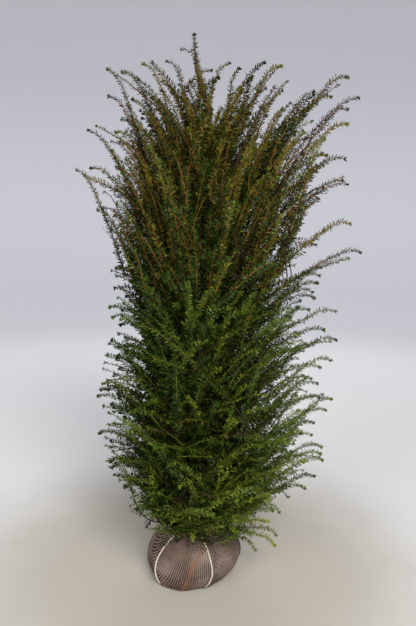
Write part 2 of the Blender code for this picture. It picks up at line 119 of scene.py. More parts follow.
# leading shoots of the outline: across, height, steepness in degrees, length
LEADERS = (
    (-0.084, 2.415, 55, 0.20), (-0.144, 2.365, 66, 0.42), (-0.250, 2.352, 58, 0.55), (-0.336, 2.318, 52, 0.55),
    (-0.400, 2.329, 56, 0.60), (0.040, 2.332, 42, 0.18), (0.072, 2.300, 60, 0.30), (0.116, 2.361, 70, 0.40),
    (0.160, 2.338, 84, 0.36), (0.210, 2.300, 72, 0.36), (0.265, 2.364, 68, 0.46), (0.338, 2.353, 58, 0.52),
    (-0.397, 2.219, 52, 0.46), (-0.341, 2.124, 46, 0.34), (-0.368, 2.069, 42, 0.34), (-0.489, 2.076, 45, 0.48),
    (-0.385, 2.030, 44, 0.36), (-0.541, 1.906, 52, 0.52), (-0.478, 1.915, 34, 0.42), (-0.451, 1.733, 54, 0.46),
    (-0.425, 1.745, 50, 0.40), (-0.370, 1.475, 44, 0.26), (-0.379, 1.385, 44, 0.28), (-0.403, 1.297, 34, 0.30),
    (-0.390, 1.250, 24, 0.26), (-0.355, 1.215, 30, 0.22), (-0.335, 1.120, 42, 0.22), (-0.374, 1.058, 50, 0.24),
    (-0.460, 0.873, 40, 0.36), (-0.448, 0.905, 40, 0.34), (-0.385, 0.920, 46, 0.26), (-0.458, 0.691, 26, 0.36),
    (-0.405, 0.625, 40, 0.26), (-0.405, 0.550, 24, 0.26), (-0.402, 0.518, 6, 0.28), (-0.335, 0.425, -4, 0.24),
    (-0.262, 0.285, -34, 0.20), (-0.238, 0.215, -20, 0.16),
    (0.622, 2.312, 46, 0.62), (0.674, 2.227, 44, 0.55), (0.629, 2.181, 40, 0.42), (0.554, 2.230, 42, 0.42),
    (0.632, 2.119, 40, 0.46), (0.632, 1.971, 30, 0.44), (0.550, 1.985, 34, 0.36), (0.646, 1.864, 28, 0.46),
    (0.625, 1.880, 34, 0.42), (0.669, 1.690, 28, 0.48), (0.721, 1.566, 27, 0.56), (0.522, 1.595, 36, 0.34),
    (0.542, 1.459, 42, 0.32), (0.535, 1.423, 36, 0.30), (0.515, 1.383, 32, 0.30), (0.524, 1.355, 28, 0.30),
    (0.627, 1.295, 29, 0.42), (0.500, 1.300, 40, 0.30), (0.577, 1.206, 32, 0.36), (0.634, 1.160, 34, 0.42),
    (0.616, 1.065, 29, 0.40), (0.565, 1.030, 24, 0.32), (0.525, 0.975, 38, 0.30), (0.557, 0.950, 36, 0.32),
    (0.572, 0.885, 28, 0.32), (0.626, 0.877, 46, 0.40), (0.600, 0.823, 34, 0.38), (0.545, 0.760, 44, 0.32),
    (0.540, 0.700, 40, 0.32), (0.590, 0.640, 34, 0.40), (0.588, 0.605, 32, 0.38), (0.598, 0.573, 28, 0.38),
    (0.564, 0.491, 34, 0.36), (0.520, 0.430, 28, 0.30), (0.444, 0.381, 6, 0.26), (0.403, 0.303, -4, 0.24),
    (0.393, 0.182, -2, 0.26), (0.385, 0.128, -8, 0.26), (0.294, 0.100, -30, 0.20),
)
OUTLINE, SKIN, MIDDLE, INNER, TOP, HEM = range(6)      # where a shoot ends
COUNTS = {SKIN: 620, MIDDLE: 460, INNER: 300, TOP: 54, HEM: 120}
SHARES = {SKIN: (0.86, 1.03), MIDDLE: (0.58, 0.84), INNER: (0.22, 0.54)}      # of the body's reach
LENGTHS = {SKIN: 0.36, MIDDLE: 0.28, INNER: 0.22, TOP: 0.44, HEM: 0.20}
POINTS = 33                                       # on every shoot's line
NEEDLE_WIDE = 0.0044


# ---------------------------------------------------------------- small helpers
def course(table, z):
    """Smooth interpolation of the columns of a table by its first column."""
    rows = np.array(table, float)
    z = np.clip(np.asarray(z, float), rows[0, 0], rows[-1, 0])
    k = np.clip(np.searchsorted(rows[:, 0], z) - 1, 0, len(rows) - 2)
    h = rows[k + 1, 0] - rows[k, 0]
    u = (z - rows[k, 0]) / h
    slope = np.gradient(rows[:, 1:], rows[:, 0], axis=0)
    u, h = u[..., None], h[..., None]
    a, b, ma, mb = rows[k, 1:], rows[k + 1, 1:], slope[k], slope[k + 1]
    return ((2 * u**3 - 3 * u**2 + 1) * a + (u**3 - 2 * u**2 + u) * h * ma
            + (3 * u**2 - 2 * u**3) * b + (u**3 - u**2) * h * mb)


def trunk_axis(z):
    xy = course(TRUNK_LINE, z)
    return np.concatenate([xy, np.asarray(z, float)[..., None]], axis=-1)


def trunk_radius(z):
    z = np.asarray(z, float)
    up = np.clip((z - GROUND_Z) / (TRUNK_TIP_Z - GROUND_Z), 0, 1)
    return (TRUNK_BASE_R + (TRUNK_TIP_R - TRUNK_BASE_R) * up**0.92
            + FLARE_R * np.exp(-np.clip(z - GROUND_Z, 0, None) / FLARE_DROP))


def reach(azimuth, z):
    c, s = math.cos(azimuth), math.sin(azimuth)
    across = float(course(REACH_RIGHT if c > 0 else REACH_LEFT, z)[0])
    along = float(course(REACH_BACK if s > 0 else REACH_FRONT, z)[0])
    return (abs(c / across) ** 2.5 + abs(s / along) ** 2.5) ** -0.4


def body_reach(azimuth, z):
    """Reach of the dense body, for arrays of directions and heights."""
    right, left, front, back = np.moveaxis(course(BODY, z), -1, 0)
    c, s = np.cos(azimuth), np.sin(azimuth)
    across, along = np.where(c > 0, right, left), np.where(s > 0, back, front)
    return (np.abs(c / across) ** 2.4 + np.abs(s / along) ** 2.4) ** (-1 / 2.4)


def ball_radius(azimuth, z):
    below = z < BALL_EQUATOR
    half = np.where(below, BALL_SAG, BALL_RISE)
    share = np.sqrt(np.clip(1 - ((z - BALL_EQUATOR) / half) ** 2, 0, 1))
    c, s = np.cos(azimuth), np.sin(azimuth)
    flat = BALL_RX * BALL_RY / np.sqrt((BALL_RY * c) ** 2 + (BALL_RX * s) ** 2)
    lump = (1 + 0.016 * np.sin(2 * azimuth + 0.6) + 0.012 * np.sin(3 * azimuth + 2.1 + 9 * z)
            + 0.008 * np.sin(5 * azimuth - 14 * z))
    lean = 1 - 0.154 * np.clip(np.cos(azimuth + 0.46), 0, 1) * np.clip(1 - z / 0.10, 0, 1)
    settled = 1 + 0.076 * np.clip(np.cos(azimuth - 3.95), 0, 1) ** 2 * np.clip(1 - z / 0.175, 0, 1)
    return flat * share * lump * lean * settled


def unit(v):
    return v / np.maximum(np.linalg.norm(v, axis=-1, keepdims=True), 1e-12)


def mesh_from(name, verts, faces, material, smooth=True, uvs=None):
    """A mesh object from arrays. faces is (n, 3) or (n, 4); uvs maps a name to (n, 2) per vertex."""
    faces = np.asarray(faces, np.int32)
    n, k = faces.shape
    mesh = bpy.data.meshes.new(name)
    mesh.vertices.add(len(verts))
    mesh.vertices.foreach_set("co", np.asarray(verts, np.float32).ravel())
    mesh.loops.add(n * k)
    mesh.loops.foreach_set("vertex_index", faces.ravel())
    mesh.polygons.add(n)
    mesh.polygons.foreach_set("loop_start", np.arange(0, n * k, k, dtype=np.int32))
    mesh.polygons.foreach_set("use_smooth", np.full(n, smooth, bool))
    mesh.update(calc_edges=True)
    for key, uv in (uvs or {}).items():
        layer = mesh.uv_layers.new(name=key)
        layer.data.foreach_set("uv", np.asarray(uv, np.float32)[faces.ravel()].ravel())
    mesh.materials.append(material)
    made = bpy.data.objects.new(name, mesh)
    bpy.context.scene.collection.objects.link(made)
    return made


def tubes(lines, radii, sides, caps=True):
    """Vertices and faces of many tubes: lines (n, m, 3), radii (n, m)."""
    n, m, _ = lines.shape
    tangent = unit(np.gradient(lines, axis=1))
    ref = np.where(np.abs(tangent[:, :1, 2:]) > 0.9, np.array([1.0, 0, 0]), UP)
    a = np.empty_like(lines)
    side = np.cross(tangent[:, 0], ref[:, 0])
    for k in range(m):
        side = side - tangent[:, k] * np.sum(side * tangent[:, k], axis=1, keepdims=True)
        side = unit(side)
        a[:, k] = side
    b = np.cross(tangent, a)
    turn = np.arange(sides) * TAU / sides
    ring = (lines[:, :, None] + radii[:, :, None, None]
            * (np.cos(turn)[:, None] * a[:, :, None] + np.sin(turn)[:, None] * b[:, :, None]))
    verts = ring.reshape(-1, 3)
    i = np.arange(sides)
    j = (i + 1) % sides
    k = np.arange(m - 1)[:, None]
    quad = np.stack([k * sides + i, k * sides + j, (k + 1) * sides + j, (k + 1) * sides + i], axis=-1).reshape(-1, 4)
    faces = (quad[None] + (np.arange(n) * m * sides)[:, None, None]).reshape(-1, 4)
    return verts, faces


def bezier(p, u):
    """Points of cubic curves p (n, 4, 3) at u (m,) or (n, m)."""
    u = np.broadcast_to(u, (len(p), np.shape(u)[-1]))[..., None]
    return ((1 - u) ** 3 * p[:, None, 0] + 3 * (1 - u) ** 2 * u * p[:, None, 1]
            + 3 * (1 - u) * u**2 * p[:, None, 2] + u**3 * p[:, None, 3])


# ---------------------------------------------------------------- materials
FLOOR_NEAR, FLOOR_FAR, BACK_GLOW = (0.440, 0.408, 0.358), (0.67, 0.67, 0.675), (0.240, 0.240, 0.260)


class Nodes:
    """A short way to write a node tree."""

    def __init__(self, name, colour, roughness, specular=0.5):
        self.material = bpy.data.materials.new(name)
        self.material.use_nodes = True
        self.tree = self.material.node_tree
        self.shader = self.tree.nodes["Principled BSDF"]
        self.set(self.shader, **{"Base Color": (*colour, 1), "Roughness": roughness,
                                 "Specular IOR Level": specular})
        self.material.diffuse_color = (*colour, 1)

    def set(self, node, **values):
        for key, value in values.items():
            self.put(value, node.inputs[key])

    def put(self, value, socket):
        if isinstance(value, bpy.types.NodeSocket):
            self.tree.links.new(value, socket)
        elif hasattr(socket, "default_value") and hasattr(socket.default_value, "__len__") and not hasattr(value, "__len__"):
            socket.default_value = (value, value, value)[:len(socket.default_value)]
        else:
            socket.default_value = value

    def node(self, kind, out=0, fields=None, **values):
        made = self.tree.nodes.new(kind)
        for key, value in (fields or {}).items():
            setattr(made, key, value)
        self.set(made, **values)
        return made.outputs[out]

    def math(self, op, a, b=0.0, clamp=False):
        made = self.tree.nodes.new("ShaderNodeMath")
        made.operation, made.use_clamp = op, clamp
        self.put(a, made.inputs[0])
        self.put(b, made.inputs[1])
        return made.outputs[0]

    def mix(self, share, a, b, mode="MIX"):
        made = self.tree.nodes.new("ShaderNodeMix")
        made.data_type, made.blend_type = "RGBA", mode
        for value, k in ((share, 0), (a, 6), (b, 7)):
            if isinstance(value, tuple) and len(value) == 3:
                value = (*value, 1)
            self.put(value, made.inputs[k])
        return made.outputs[2]

    def ramp(self, value, low, high, smooth=False):
        return self.node("ShaderNodeMapRange", fields={"clamp": True, "interpolation_type": "SMOOTHSTEP" if smooth else "LINEAR"}, **{
            "Value": value, "From Min": low, "From Max": high})

    def noise(self, vector, scale, detail=3.0, rough=0.55, out=0):
        return self.node("ShaderNodeTexNoise", out, **{
            "Vector": vector, "Scale": scale, "Detail": detail, "Roughness": rough})

    def bump(self, height, strength, distance):
        self.set(self.shader, Normal=self.node("ShaderNodeBump", **{
            "Height": height, "Strength": strength, "Distance": distance}))


def object_coords(n):
    return n.node("ShaderNodeTexCoord", 3)


def needle_material(name, colour, roughness, specular):
    """A plain base colour dealt out by spray, with a fine ribbed surface."""
    n = Nodes(name, colour, roughness, specular)
    n.bump(n.noise(object_coords(n), 900.0, 1.0), 0.25, 0.0004)
    return n.material


def bark_material():
    n = Nodes("yew_bark", (0.15, 0.07, 0.045), 0.85, 0.15)
    at = object_coords(n)
    stretched = n.node("ShaderNodeMapping", **{"Vector": at, "Scale": (1.0, 1.0, 0.28)})
    plates = n.node("ShaderNodeTexVoronoi", 0, **{"Vector": stretched, "Scale": 95.0})
    grain = n.noise(stretched, 160.0, 5.0, 0.65)
    broad = n.noise(at, 9.0, 2.0)
    colour = n.mix(n.ramp(grain, 0.35, 0.68), (0.040, 0.021, 0.013), (0.125, 0.060, 0.034))
    colour = n.mix(n.ramp(broad, 0.50, 0.66), colour, (0.085, 0.055, 0.038))
    colour = n.mix(n.ramp(plates, 0.0, 0.12), (0.045, 0.022, 0.017), colour)
    n.set(n.shader, **{"Base Color": colour, "Roughness": n.ramp(grain, -1.2, 1.0)})
    n.bump(n.math("ADD", plates, grain), 0.6, 0.0015)
    return n.material


def twig_material(name, light, dark):
    n = Nodes(name, light, 0.75, 0.10)
    at = object_coords(n)
    colour = n.mix(n.ramp(n.noise(at, 38.0, 3.0), 0.38, 0.64), dark, light)
    n.set(n.shader, **{"Base Color": colour})
    n.bump(n.noise(at, 420.0, 2.0), 0.3, 0.0006)
    return n.material


def net_material():
    """Ribbed knitted net drawn over soil. The map "sheet" holds the places on the flat sheet, in metres."""
    n = Nodes("ribbed_netting", (0.20, 0.15, 0.12), 0.92, 0.18)
    uv = n.node("ShaderNodeUVMap", fields={"uv_map": "sheet"})
    split = n.tree.nodes.new("ShaderNodeSeparateXYZ")
    n.put(uv, split.inputs[0])
    across, along = split.outputs[0], split.outputs[1]
    at = object_coords(n)
    sway = n.math("ADD", n.math("MULTIPLY", n.math("SUBTRACT", n.noise(at, 30.0, 3.0), 0.5), 0.6),
                  n.math("MULTIPLY", n.math("SUBTRACT", n.noise(at, 9.0, 2.0), 0.5), 1.2))
    turns = n.math("ADD", n.math("DIVIDE", across, RIB_GAP), sway)
    rib = n.math("ADD", n.math("MULTIPLY", n.math("COSINE", n.math("MULTIPLY", turns, TAU)), 0.5), 0.5)
    stitch = n.math("ADD", n.math("MULTIPLY", n.math("SINE", n.math("MULTIPLY", n.math(
        "ADD", n.math("DIVIDE", along, 0.0058), n.math("MULTIPLY", turns, 0.5)), TAU)), 0.5), 0.5)
    fibre = n.noise(at, 240.0, 3.0, 0.7)
    soil = n.noise(at, 16.0, 4.0)
    dust = n.noise(at, 6.0, 3.0)
    # towards the right the sheet is doubled, and a second set of ribs crosses the first
    cross = n.math("ADD", n.math("MULTIPLY", n.math("COSINE", n.math("MULTIPLY", n.math("ADD", n.math(
        "DIVIDE", n.math("ADD", along, n.math("MULTIPLY", across, 0.45)), RIB_GAP), sway), TAU)), 0.5), 0.5)
    doubled = n.math("MULTIPLY", n.ramp(across, -0.02, 0.07), 0.85)
    rib = n.math("MAXIMUM", n.math("MULTIPLY", rib, n.math("SUBTRACT", 1.0, n.math("MULTIPLY", doubled, 0.35))),
                 n.math("MULTIPLY", cross, doubled))
    thread = n.math("MULTIPLY", n.math("POWER", rib, 1.9), n.math("ADD", n.math("MULTIPLY", stitch, 0.40), 0.60))
    thread = n.math("MULTIPLY", thread, n.ramp(fibre, 0.10, 0.55), True)
    # where the sheet is slack the ribs open out and the gaps between them fill with dust
    slack = n.ramp(n.noise(at, 8.0, 2.0), 0.50, 0.66)
    thread = n.math("ADD", n.math("MULTIPLY", thread, n.math("SUBTRACT", 1.0, n.math("MULTIPLY", slack, 0.45))),
                    n.math("MULTIPLY", slack, 0.26), True)
    # the gaps between the ribs are soil, deepened to near black as painted shade in the hollows between the ribs
    gap_soil_and_shade = n.mix(n.ramp(soil, 0.38, 0.62), (0.026, 0.014, 0.010), (0.075, 0.040, 0.027))
    pale = n.mix(n.ramp(dust, 0.40, 0.62), (0.275, 0.198, 0.156), (0.415, 0.337, 0.286))
    colour = n.mix(thread, gap_soil_and_shade, pale)
    # a stain of red-brown soil follows the ribs down the front
    bend = n.math("MAXIMUM", n.math("SUBTRACT", -0.295, along), 0.0)
    middle = n.math("ADD", n.math("SUBTRACT", n.math("MULTIPLY", n.math("ADD", along, 0.217), -0.20), 0.133), bend)
    off = n.math("ABSOLUTE", n.math("SUBTRACT", across, middle))
    near = n.math("SUBTRACT", 1.35, n.math("DIVIDE", off, 0.0135), True)
    front = n.math("LESS_THAN", along, 0.0)
    stain = n.math("MULTIPLY", n.math("MULTIPLY", near, front), n.ramp(n.noise(at, 24.0, 3.0), 0.22, 0.46), True)
    colour = n.mix(n.math("MULTIPLY", stain, 0.68), colour, (0.205, 0.090, 0.058))
    n.set(n.shader, **{"Base Color": colour})
    n.bump(n.math("ADD", thread, n.math("MULTIPLY", fibre, 0.35)), 0.85, 0.0024)
    return n.material


def cord_material():
    n = Nodes("tie_cord", (0.72, 0.66, 0.54), 0.7, 0.3)
    at = object_coords(n)
    strands = n.noise(at, 330.0, 3.0, 0.6)
    colour = n.mix(n.ramp(strands, 0.3, 0.7), (0.56, 0.49, 0.38), (0.80, 0.75, 0.64))
    colour = n.mix(n.ramp(n.noise(at, 22.0, 2.0), 0.56, 0.74), colour, (0.46, 0.39, 0.30))
    n.set(n.shader, **{"Base Color": colour})
    n.bump(strands, 0.5, 0.0008)
    return n.material


def floor_material():
    """Pale floor that turns into the backdrop. Far away a faint glow evens out the light on it."""
    n = Nodes("studio_floor", (0.62, 0.62, 0.64), 0.75, 0.2)
    at = object_coords(n)
    split = n.tree.nodes.new("ShaderNodeSeparateXYZ")
    n.put(at, split.inputs[0])
    away = n.math("SQRT", n.math("ADD", n.math("POWER", split.outputs[0], 2.0), n.math("POWER", split.outputs[1], 2.0)))
    grain = n.math("MULTIPLY", n.math("SUBTRACT", n.noise(at, 3.0), 0.5), 0.3)
    colour = n.mix(n.ramp(n.math("ADD", away, grain), 0.62, 1.60, True), FLOOR_NEAR, FLOOR_FAR)
    colour = n.mix(n.ramp(away, 4.2, 7.0), colour, (0.440, 0.446, 0.480))
    n.set(n.shader, **{"Base Color": colour, "Roughness": n.ramp(n.noise(at, 3.0), -2.0, 1.2)})
    high = n.math("SUBTRACT", 1.0, n.math("MULTIPLY", n.ramp(split.outputs[2], 1.5, 3.6), 0.36))
    high = n.math("MULTIPLY", high, n.math("ADD", 0.35, n.math("MULTIPLY", n.ramp(split.outputs[1], -3.5, 1.5, True), 0.65)))
    n.set(n.shader, **{"Emission Color": (*BACK_GLOW, 1), "Emission Strength": n.math("MULTIPLY", n.ramp(away, 0.5, 4.8), high)})
    return n.material


# each kind of spray: base colour, roughness, specular
KINDS = {
    # the needles' own dark green, taken darker still: partly painted shade
    "deep":   ((0.0052, 0.0150, 0.0012), 0.50, 0.06),
    "green":  ((0.0170, 0.0455, 0.0040), 0.48, 0.16),
    "fresh":  ((0.0690, 0.1100, 0.0080), 0.46, 0.22),
    "lime":   ((0.1650, 0.2060, 0.0155), 0.48, 0.22),
    "olive":  ((0.0390, 0.0470, 0.0045), 0.48, 0.16),
    "bronze": ((0.1250, 0.1080, 0.0092), 0.50, 0.18),
    # near-black needles: painted shade for foliage that lies in shadow
    "painted_shade":   ((0.0092, 0.0090, 0.0010), 0.52, 0.06),
    # pale grey-green needles: the sheen of the glossy needles painted into their colour
    "sheen_grey":   ((0.0320, 0.0560, 0.0240), 0.42, 0.35),
    "brown":  ((0.0400, 0.0200, 0.0110), 0.75, 0.06),
}
KIND_NAMES = list(KINDS)
# share of each kind by height: the leading stretch of the outer shoots, their side shoots, and the inside
LEAD_MIX = (
    (0.20, .14, .26, .34, .17, .04, .01, .01, .03, .00),
    (0.70, .12, .24, .34, .21, .05, .01, .01, .02, .00),
    (1.10, .14, .26, .38, .08, .08, .03, .02, .01, .00),
    (1.40, .12, .30, .37, .00, .14, .04, .03, .00, .00),
    (1.70, .06, .26, .25, .02, .27, .11, .03, .00, .00),
    (2.00, .04, .16, .08, .00, .40, .28, .04, .00, .00),
    (2.40, .02, .06, .00, .00, .42, .32, .18, .00, .00),
)
SIDE_MIX = (
    (0.20, .42, .26, .10, .03, .04, .00, .08, .06, .01),
    (0.70, .44, .26, .10, .03, .04, .00, .06, .06, .01),
    (1.10, .42, .28, .09, .01, .06, .01, .07, .06, .00),
    (1.40, .38, .34, .06, .00, .08, .01, .09, .04, .00),
    (1.70, .34, .34, .04, .00, .14, .02, .08, .04, .00),
    (2.00, .28, .28, .02, .00, .25, .05, .11, .01, .00),
    (2.40, .14, .14, .00, .00, .34, .14, .24, .00, .00),
)
# the inside of the crown is dealt mostly the darkest kinds: painted shade where the crown shades itself
INSIDE_MIX = (
    (0.20, .58, .12, .01, .00, .03, .00, .18, .04, .04),
    (1.10, .58, .14, .01, .00, .04, .00, .17, .04, .02),
    (1.70, .56, .16, .01, .00, .10, .01, .13, .02, .01),
    (2.40, .28, .10, .00, .00, .26, .06, .29, .00, .01),
)


EDGE_MIX = (
    (0.20, .24, .34, .26, .06, .04, .00, .04, .02, .00),
    (1.30, .22, .36, .18, .02, .12, .02, .08, .00, .00),
    (1.70, .14, .16, .04, .00, .36, .14, .16, .00, .00),
    (2.40, .08, .08, .00, .00, .36, .22, .26, .00, .00),
)

# some needles of a spray are a shade darker or lighter than the rest: the darker are painted shade and the lighter
# painted light, for needles turned from the light and towards it
SHADES = {"deep": ("painted_shade", "green"), "green": ("deep", "fresh"), "fresh": ("green", "lime"), "lime": ("fresh", "lime"),
          "olive": ("painted_shade", "bronze"), "bronze": ("olive", "bronze"), "painted_shade": ("painted_shade", "olive"),
          "sheen_grey": ("deep", "green"), "brown": ("brown", "painted_shade")}


def deal(z, mix, luck_and_side_light):
    """The kind of each spray, from its height, which mix it draws on (0 to 3), and a number in 0..1."""
    tables = np.stack([course(table, z) for table in (LEAD_MIX, SIDE_MIX, INSIDE_MIX, EDGE_MIX)])
    shares = tables[mix, np.arange(len(z))].clip(0)
    shares = np.cumsum(shares / shares.sum(axis=1, keepdims=True), axis=1)
    return (luck_and_side_light[:, None] > shares).sum(axis=1).clip(0, len(KIND_NAMES) - 1)


# ---------------------------------------------------------------- limbs
def spine(azimuth, foot_z, tip_z, tip_reach, arch, points=40):
    start = trunk_axis(foot_z)
    tip = np.array([tip_reach * math.cos(azimuth), tip_reach * math.sin(azimuth), tip_z])
    way = tip - start
    flat = math.hypot(way[0], way[1])
    out = np.array([way[0] / flat, way[1] / flat, 0])
    chord = math.atan2(way[2], flat)
    rise = min(chord + math.radians(arch), math.radians(84))
    drop = chord - math.radians(arch * 1.15)
    length = np.linalg.norm(way)
    p1 = start + length * 0.36 * (out * math.cos(rise) + UP * math.sin(rise))
    p2 = tip - length * 0.34 * (out * math.cos(drop) + UP * math.sin(drop))
    u = np.linspace(0, 1, points)[:, None]
    return (1 - u) ** 3 * start + 3 * (1 - u) ** 2 * u * p1 + 3 * (1 - u) * u**2 * p2 + u**3 * tip


def limbs():
    """The line of every mass of the solids, with its tier's name."""
    found = []
    for tier, (name, ways, foot, tip, drop, arch, wander) in enumerate(TIERS):
        for k, way in enumerate(ways):
            azimuth = math.radians(way)
            tip_z = tip + wander * math.sin(1.9 * k + 1.3 * tier) - drop * (1 - math.cos(azimuth)) / 2
            spread = 0.075 if name == "fan" else 0.012
            foot_z = foot + spread * (((k * 2) % len(ways)) / (len(ways) - 1) * 2 - 1)
            found.append((name, spine(azimuth, foot_z, tip_z, reach(azimuth, tip_z), arch)))
    for k, (way, far, tip_z) in enumerate(SPIRES):
        foot_z = SPIRE_FOOT + 0.020 * ((k * 3) % 7 - 3)
        found.append(("spire", spine(math.radians(way), foot_z, tip_z, far, SPIRE_ARCH)))
    return found


LIMBS = limbs()


# ---------------------------------------------------------------- shoots
def limb_points():
    """Points where a shoot may leave a limb, and the limb's direction there."""
    at, way = [], []
    for name, line in LIMBS:
        run = unit(np.gradient(line, axis=0))
        u = np.linspace(0, 1, len(line))
        keep = (u > 0.08) & (u < (0.44 if name == "skirt" else 0.86))
        at.append(line[keep])
        way.append(run[keep])
    stem = trunk_axis(np.linspace(1.80, 2.38, 30))
    at.append(stem)
    way.append(unit(np.gradient(stem, axis=0)))
    return np.concatenate(at), np.concatenate(way)


LIMB_AT, LIMB_WAY = limb_points()


def along_view(points, depth):
    """Slides points that lie in the plane of the stem to another depth, on their lines of sight."""
    way = points - CAM_AT
    return CAM_AT + way * ((depth - CAM_AT[1]) / way[:, 1])[:, None]


def heading(azimuth, rise):
    return np.stack([np.cos(azimuth) * np.cos(rise), np.sin(azimuth) * np.cos(rise), np.sin(rise)], axis=-1)


def resample(lines, count):
    """Lines with points evenly spaced along each, and their lengths."""
    run = np.cumsum(np.linalg.norm(np.diff(lines, axis=1), axis=2), axis=1)
    run = np.concatenate([np.zeros((len(lines), 1)), run], axis=1)
    target = np.linspace(0, 1, count)[None] * run[:, -1:]
    k = (run[:, None, 1:-1] <= target[..., None]).sum(axis=2)
    row = np.arange(len(lines))[:, None]
    f = (target - run[row, k]) / np.maximum(run[row, k + 1] - run[row, k], 1e-9)
    return lines[row, k] * (1 - f[..., None]) + lines[row, k + 1] * f[..., None], run[:, -1]


def on_line(lines, which, u):
    """Points and directions at the shares u of the chosen lines."""
    last = lines.shape[1] - 1
    x = np.clip(u, 0, 0.99999) * last
    k = x.astype(int)
    f = (x - k)[:, None]
    a, b = lines[which, k], lines[which, k + 1]
    before, after = lines[which, np.maximum(k - 1, 0)], lines[which, np.minimum(k + 2, last)]
    return a * (1 - f) + b * f, unit((b - before) * (1 - f) + (after - a) * f)


def grow(tips, azimuth, rise, length, nod, sway):
    """Shoots that end at the tips: rising at rise, with the last few centimetres bent over
    by nod, and joined to the limb that each fits best. Returns lines and lengths."""
    s = np.linspace(0, 1, 14) ** 1.4
    mid = (s[1:] + s[:-1]) / 2
    dist = mid * length[:, None]
    e = rise[:, None] - nod[:, None] * np.exp(-((dist / 0.048) ** 1.8)) + 0.24 * (mid - 0.40)
    d = heading(azimuth[:, None] + sway[:, None] * mid, np.clip(e, -1.0, 1.50))
    back = np.cumsum(d * (np.diff(s) * length[:, None])[..., None], axis=1)
    free = np.concatenate([tips[:, None], tips[:, None] - back], axis=1)
    foot, way = free[:, -1], d[:, -1]
    gap = foot[:, None] - LIMB_AT[None]
    far = np.linalg.norm(gap, axis=2)
    turn = np.sum(gap * way[:, None], axis=2) / np.maximum(far, 1e-6)
    follow = np.sum(gap * LIMB_WAY[None], axis=2) / np.maximum(far, 1e-6)
    weight = np.clip(far / 0.06, 0, 1)
    cost = far + weight * (0.12 * (1 - turn) + 0.05 * (1 - follow) + 0.3 * (turn < 0))
    k = np.argmin(cost, axis=1)
    start, span = LIMB_AT[k], np.min(far[np.arange(len(k)), k][:, None], axis=1)[:, None]
    curve = np.stack([start, start + 0.35 * span * unit(LIMB_WAY[k] + 0.8 * way), foot - 0.35 * span * way, foot], axis=1)
    joint = bezier(curve, np.linspace(0, 1, 7))[:, :-1]
    return resample(np.concatenate([joint, free[:, ::-1]], axis=1), POINTS)


